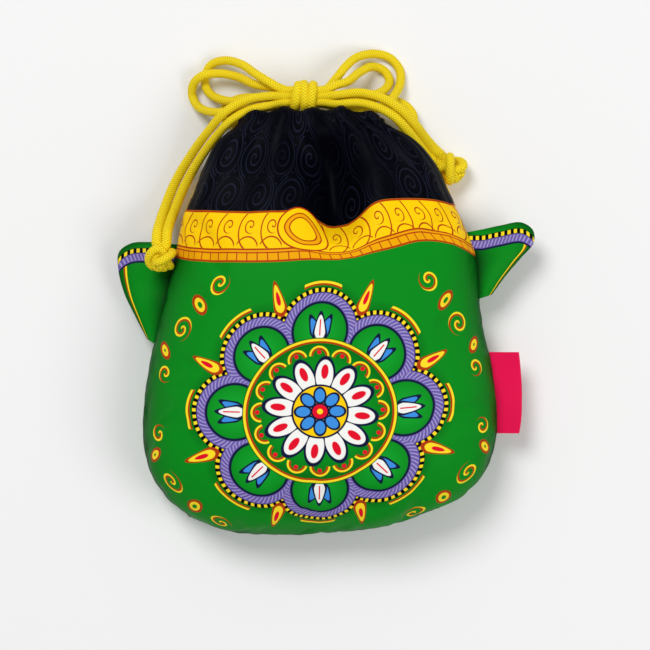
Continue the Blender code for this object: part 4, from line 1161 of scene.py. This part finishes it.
def ground_print():
    """Green with painted shade towards the seams, black top and yellow band. Every number in the prints is
    in millimetres on the flat cloth.
    """
    group, inside, outside = new_group(
        "ground_print", [("Flat", "NodeSocketVector")], [("Color", "NodeSocketColor")]
    )
    flat = inside.outputs["Flat"]
    p, q0 = millimetres(group, flat)
    q = q0 - ((p - 12.0) * (2 * math.pi / BAND_WAVE_LENGTH)).op("SINE") * BAND_WAVE
    hump = (p - 48.0) / 16.0
    low_q = q - 1.2 - (-(hump * hump)).op("EXPONENT") * 2.4 + spread(p, 62.0, 77.0) * 2.5
    art = Print(group, GREEN)
    # Painted shade: the green turns deep green towards the side seams and the bottom seam, where the
    # padding curves away.
    rim = either(spread(abs(p), 52.0, 77.0), spread(-q0, -20.0, -2.0))
    art.cover(rim * rim * 0.95, GREEN_DEEP)
    art.cover((-(q - BAND_HIGH)).inside(), black_top(group, flat, p, q))
    yellow_band(art, p, q, low_q)
    group.links.new(art.color, outside.inputs["Color"])
    return group


ground_group = ground_print()
print("ground print nodes:", len(ground_group.nodes))

# %% [markdown]
# ## The rosette
# The front's middle carries one big rosette, in the same colours and line weights as the rest of the
# print: eight striped purple scallops with dotted edges and a bud in each, a ring of arches, white
# petals and a blue eye of petals with a red heart. Curls and drops fill the corners. Folding the plane
# with the angle turns one petal into many.

# %% Scallops, buds and flames
ROSETTE_AT = (0.0, 63.0)
SCALLOP_AT = 30.0
SCALLOP_RADIUS = 11.6


def petals(x, y, count, turn=0.0):
    """Coordinates in one petal: along it and across it."""
    radius, angle = length_from(x, y), angle_of(y, x) + turn
    local = angle.repeat(2 * math.pi / count)
    return radius * local.op("COSINE"), radius * local.op("SINE")


def scallops(art, along, across):
    """Striped purple ribbon in eight scallops, dotted outside and shaded on the green."""
    lobe = length_from(along - SCALLOP_AT, across) - SCALLOP_RADIUS
    art.cover(both(spread(-lobe, -8.0, 0.0), spread(lobe, -2.0, 0.0)) * 0.75, GREEN_DEEP)
    art.cover(both(lobe.inside(), spread(-lobe, 1.0, 9.0)) * 0.8, GREEN_BRIGHT)
    turn = angle_of(across, along - SCALLOP_AT)
    art.cover((lobe - 3.3).line(1.9), BLACK)
    art.cover(both(turn.repeat(0.165).line(0.082, 0.012), (lobe - 3.3).line(1.5)), YELLOW)
    art.cover((lobe - 0.4).line(4.4), NAVY)
    art.cover((lobe - 0.7).line(3.2), PURPLE)
    slant = (turn * SCALLOP_RADIUS + lobe * 0.7).repeat(1.45)
    art.cover(both(slant.line(0.5), (lobe - 0.7).line(2.6)), PURPLE_LIGHT)
    outer = (-(along - 25.5)).inside()
    art.shadowed(lobe - 6.2, 0.9, both((abs(across) - 7.4).inside(), outer))


def buds(art, along, across):
    """A bud of three petals inside each scallop."""
    for lean, petal_tint in ((4.1, BLUE), (0.0, WHITE)):
        bud_across = abs(across) - (along - 27.0) * (lean / 9.0)
        pinch = 1.0 + spread(along, 29.0, 39.0) * 1.3
        drop = length_from((along - 31.0 - lean * -0.3) / 2.1, bud_across * pinch) - 2.2
        art.cover((drop - 0.75).inside(), NAVY)
        art.cover(drop.inside(), petal_tint)
    slit = both((along - 34.0).inside(), (-(along - 28.0)).inside())
    art.cover(both(across.line(0.5), slit), RED)


def flames(art, along, across):
    """A flame between each scallop and the next."""
    pinch = 1.0 + spread(along, 41.0, 53.0) * 1.6
    flame = length_from((along - 45.2) / 2.3, across * pinch) - 2.1
    for edge, tint in ((1.0, LINE_RED), (0.3, YELLOW), (-0.9, RED)):
        art.cover((flame - edge).inside(), tint)


# %% The green disc and the flower
def disc_and_flower(art, x, y):
    """The green disc with its ring of arches, the white flower and the blue eye."""
    r = length_from(x, y)
    art.cover((r - 27.2).inside(), GREEN)
    art.cover(both((r - 27.2).inside(), spread(r, 18.0, 27.0)) * 0.6, GREEN_DEEP)
    art.shadowed(r - 26.4, 0.9)
    along, across = petals(x, y, 16)
    art.shadowed(length_from(along - 20.6, across) - 3.3, 0.7, (-(along - 20.4)).inside())
    art.cover((length_from(along - 21.9, across) - 0.8).inside(), RED)
    along, across = petals(x, y, 12, 0.13)
    petal = ellipse(along, across, 13.6, 0.0, 5.6, 3.1)
    art.cover((petal - 0.8).inside(), NAVY)
    art.cover(petal.inside(), WHITE)
    art.cover(ellipse(along, across, 14.8, 0.0, 2.7, 1.3).inside(), RED)
    for radius, tint in ((10.0, NAVY), (9.3, GOLD)):
        art.cover((r - radius).inside(), tint)
    along, across = petals(x, y, 8)
    leaf = ellipse(along, across, 5.9, 0.0, 2.8, 2.0)
    art.cover((leaf - 0.35).inside(), NAVY)
    art.cover((leaf + 0.25).inside(), BLUE)
    for radius, tint in ((3.2, NAVY), (2.6, RED), (1.0, YELLOW)):
        art.cover((r - radius).inside(), tint)


# %% Curls, drops and the oval boss
CURLS = ((56.5, 30.0, 1.0, 4.8), (43.0, 47.5, -1.0, 4.4), (60.5, 12.0, -1.0, 3.6))
DROPS = ((50.5, 39.5, 1.0), (63.0, 21.0, 0.8))


def curls_and_drops(art, mx, my):
    """Curls and drops at the corners and the sides, the same in each quarter."""
    for cx, cy, hand, big in CURLS:
        x, y = mx - cx, my - cy
        reach = (length_from(x, y) - big).inside()
        art.shadowed(spiral(x, y, 3.4, hand), 0.8, reach)
    for cx, cy, big in DROPS:
        x, y = mx - cx, my - cy
        bud = ellipse(x * 0.75 + y * 0.66, y * 0.75 - x * 0.66, 0.0, 0.0, 3.6 * big, 1.8 * big)
        for edge, tint in ((0.8, LINE_RED), (0.0, YELLOW), (-1.0, GREEN)):
            art.cover((bud - edge).inside(), tint)


def oval_boss(art, p, q):
    """A plain oval boss in the middle of the band."""
    x, y = (p + 9.6) * 0.86, (q - 128.4) * 1.30
    boss = length_from(x, y)
    inner = ((abs(x) / 7.4) ** 1.7 + (abs(y) / 7.6) ** 1.7) ** 0.588 * 7.5 - 7.5
    for edge, tint in ((10.9, LINE_RED), (10.2, GOLD)):
        art.cover((boss - edge).inside(), tint)
    for edge, tint in ((0.6, LINE_RED), (0.0, GOLD_SHADE), (-1.5, LINE_RED), (-2.1, GOLD)):
        art.cover((inner - edge).inside(), tint)


# %% Rosette group
def rosette_print():
    """The rosette and its company, laid over the colour that comes in."""
    group, inside, outside = new_group(
        "rosette_print", [("Flat", "NodeSocketVector"), ("Under", "NodeSocketColor")],
        [("Color", "NodeSocketColor")],
    )
    p, q = millimetres(group, inside.outputs["Flat"])
    x, y = p * 0.98 - ROSETTE_AT[0], (q - ROSETTE_AT[1]) * 1.05
    art = Print(group, inside.outputs["Under"])
    at_scallop = petals(x, y, 8)
    scallops(art, *at_scallop)
    buds(art, *at_scallop)
    flames(art, *petals(x, y, 8, math.pi / 8))
    disc_and_flower(art, x, y)
    curls_and_drops(art, abs(x), abs(y))
    oval_boss(art, p, q)
    group.links.new(art.color, outside.inputs["Color"])
    return group


rosette_group = rosette_print()
print("rosette nodes:", len(rosette_group.nodes))

# %% [markdown]
# ## Weave
# The cloth is a thin polyester satin over padding. Seen close, its threads are a fine twill. One
# group makes that relief for the panels, the ears and the ribbon, each with its own thread pitch.

# %% Weave group
def weave_relief():
    """Height and roughness of the weave. Pitch is the width of one thread, in metres."""
    group, inside, outside = new_group(
        "weave_relief", [("Flat", "NodeSocketVector"), ("Pitch", "NodeSocketFloat")],
        [("Height", "NodeSocketFloat"), ("Roughness", "NodeSocketFloat")],
    )
    flat, pitch = inside.outputs["Flat"], Field(group, inside.outputs["Pitch"])
    p, q = (field / pitch for field in flat_fields(group, flat))
    twill = ((p + q) * math.pi).op("SINE")
    weft = (q * (2 * math.pi)).op("SINE")
    uneven = noise_field(group, flat, 900.0, detail=3.0)
    height = twill * 0.35 + weft * 0.15 + uneven * 0.6
    rough = noise_field(group, flat, 45.0) * 0.16 + uneven * 0.08 + 0.34
    group.links.new(height.socket, outside.inputs["Height"])
    group.links.new(rough.socket, outside.inputs["Roughness"])
    return group


weave_group = weave_relief()
print("weave nodes:", len(weave_group.nodes))

# %% Cloth finish
CLOTH_THREAD = 0.00042
CLOTH_SPECULAR = 0.03


def uv_place(tree, name):
    node = tree.nodes.new("ShaderNodeUVMap")
    node.uv_map = name
    return node.outputs["UV"]


def place_group(tree, group):
    node = tree.nodes.new("ShaderNodeGroup")
    node.node_tree = group
    return node


def add_relief(tree, shader, height, strength, distance):
    """A bump on the shader's normal."""
    relief = tree.nodes.new("ShaderNodeBump")
    relief.inputs["Strength"].default_value = strength
    relief.inputs["Distance"].default_value = distance
    tree.links.new(height, relief.inputs["Height"])
    tree.links.new(relief.outputs["Normal"], shader.inputs["Normal"])


def cloth_finish(name, thread=CLOTH_THREAD, bump=0.00004, sheen=0.0):
    """A Principled cloth with the weave relief. Its tree, shader and flat place come back."""
    made, tree, shader = new_material(name)
    flat = uv_place(tree, "cloth_uv")
    weave = place_group(tree, weave_group)
    tree.links.new(flat, weave.inputs["Flat"])
    weave.inputs["Pitch"].default_value = thread
    add_relief(tree, shader, weave.outputs["Height"], 0.6, bump)
    tree.links.new(weave.outputs["Roughness"], shader.inputs["Roughness"])
    shader.inputs["Sheen Weight"].default_value = sheen
    shader.inputs["Sheen Roughness"].default_value = 0.5
    shader.inputs["Specular IOR Level"].default_value = CLOTH_SPECULAR
    return made, tree, shader, flat


# %% Panel materials
def printed_cloth(name, prints):
    """Cloth with its prints laid one over another."""
    made, tree, shader, flat = cloth_finish(name)
    color = None
    for group in prints:
        layer = place_group(tree, group)
        tree.links.new(flat, layer.inputs["Flat"])
        if color:
            tree.links.new(color, layer.inputs["Under"])
        color = layer.outputs["Color"]
    tree.links.new(color, shader.inputs["Base Color"])
    return made


front_cloth.data.materials.append(printed_cloth("front_print", (ground_group, rosette_group)))
back_cloth.data.materials.append(printed_cloth("back_print", (ground_group,)))
print("printed panels: 2")

# %% [markdown]
# The ears carry the green ground. A row of yellow dots and a striped purple ribbon run along the top
# edge, so their UV map is hung from that edge. Thin yellow lines follow the lower edge.

# %% Ear material
EAR_DOTS_AT = 3.2
EAR_RIBBON_AT = 5.6
ear_print, tree, shader, flat = cloth_finish("ear_print")
out, depth = millimetres(tree, flat)
a, reach = flat_fields(tree, uv_place(tree, "share_uv"))
# Painted shade: the ear is a deeper green at the seam and towards the free edge, and keeps the plain green
# only in its middle.
unshaded_middle = 1.0 + (reach - 0.55) * (reach - 0.55) * -4.0
art = Print(tree, GREEN_DEEP)
art.cover(unshaded_middle.op("MAXIMUM", 0.0), GREEN)
for at, width, tint in ((0.87, 0.03, LINE_RED), (0.84, 0.035, YELLOW)):
    art.cover(both((reach - at).line(width, 0.01), (a - 0.62).inside(0.02)), tint)
art.cover((depth - EAR_DOTS_AT).line(1.9), BLACK)
art.cover(both(out.repeat(2.3).line(1.15), (depth - EAR_DOTS_AT).line(1.5)), YELLOW)
art.cover((depth - 5.9).line(3.7), NAVY)
art.cover((depth - EAR_RIBBON_AT).line(2.9), PURPLE)
stripes = (out + depth * 0.4).repeat(1.3).line(0.45)
art.cover(both(stripes, (depth - EAR_RIBBON_AT).line(2.3)), PURPLE_LIGHT)
tree.links.new(art.color, shader.inputs["Base Color"])
for piece in ear_pieces.values():
    piece.data.materials.append(ear_print)
print("ear print nodes:", len(tree.nodes))

# %% Label material
LABEL_THREAD = 0.00030
label_satin, tree, shader, flat = cloth_finish("label_satin", LABEL_THREAD, bump=0.00003, sheen=0.15)
shader.inputs["Base Color"].default_value = (*srgb("e8114f"), 1)
label.data.materials.append(label_satin)
print("label thread", LABEL_THREAD * 1000, "mm")

# %% [markdown]
# ## Braid
# The cord is braided from flat bundles of yarn, so it shows fine ribs that lean one way and then the
# other. Its UV map gives the turn and the length, and two slanting waves crossed over make the
# bundles. The grooves between them are painted darker and more orange, as painted shade.

# %% Cord material
BUNDLES = 6.0
FIBRES = 90.0
braid, tree, shader = new_material("yellow_braid")
around, along = flat_fields(tree, uv_place(tree, "cord_uv"))
along = along / RIB_PITCH
slant_one = ((around * BUNDLES + along) * math.pi).op("SINE")
slant_two = ((around * BUNDLES - along) * math.pi).op("SINE")
bundles = abs(slant_one * slant_two)
fibre = ((around * FIBRES + along * 3.0) * math.pi).op("SINE") * 0.5 + 0.5
# Painted shade: the grooves between the bundles are darkened towards orange.
groove_shade = (bundles * -2.6 + 1.0).op("MAXIMUM", 0.0)
art = Print(tree, srgb("ffea0c"))
art.cover(groove_shade * 0.9, srgb("dc9c00"))
art.cover(fibre * 0.10, srgb("ffec70"))
tree.links.new(art.color, shader.inputs["Base Color"])
height = bundles.op("SQRT") + fibre * 0.12
add_relief(tree, shader, height.socket, 0.7, 0.00030)
shader.inputs["Roughness"].default_value = 0.6
shader.inputs["Specular IOR Level"].default_value = 0.15
for piece in [*cord_pieces.values(), *knot_pieces.values(), *wraps]:
    piece.data.materials.append(braid)
print("braided pieces:", len(cord_pieces) + len(knot_pieces) + len(wraps))

# %% [markdown]
# ## Joining the frame
# Every piece rides with the one body of the pouch, and the solid it stands for is hidden. Cords and
# cloth also say how long or how large they were before they were tied and sewn.

# %% Bodies and soft goods
for piece, node, slot in (
    (front_cloth, "front_panel", "front_cloth"),
    (back_cloth, "back_panel", "back_cloth"),
    (ear_pieces["left"], "left_ear", "ear_cloth"),
    (ear_pieces["right"], "right_ear", "ear_cloth"),
    (label, "side_label", "label_ribbon"),
    (knot_pieces["left"], "left_end_knot", "cord"),
    (knot_pieces["right"], "right_end_knot", "cord"),
    *((piece, name, "cord") for name, piece in cord_pieces.items()),
):
    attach(piece, "root")
    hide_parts(node)
for number, piece in enumerate(wraps):
    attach(piece, "root")
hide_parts("bow_knot")

for name, piece in cord_pieces.items():
    if "drawcord" in name:
        continue
    line = cord_lines[name]
    side = name.split("_")[0]
    tail = "tail" in name
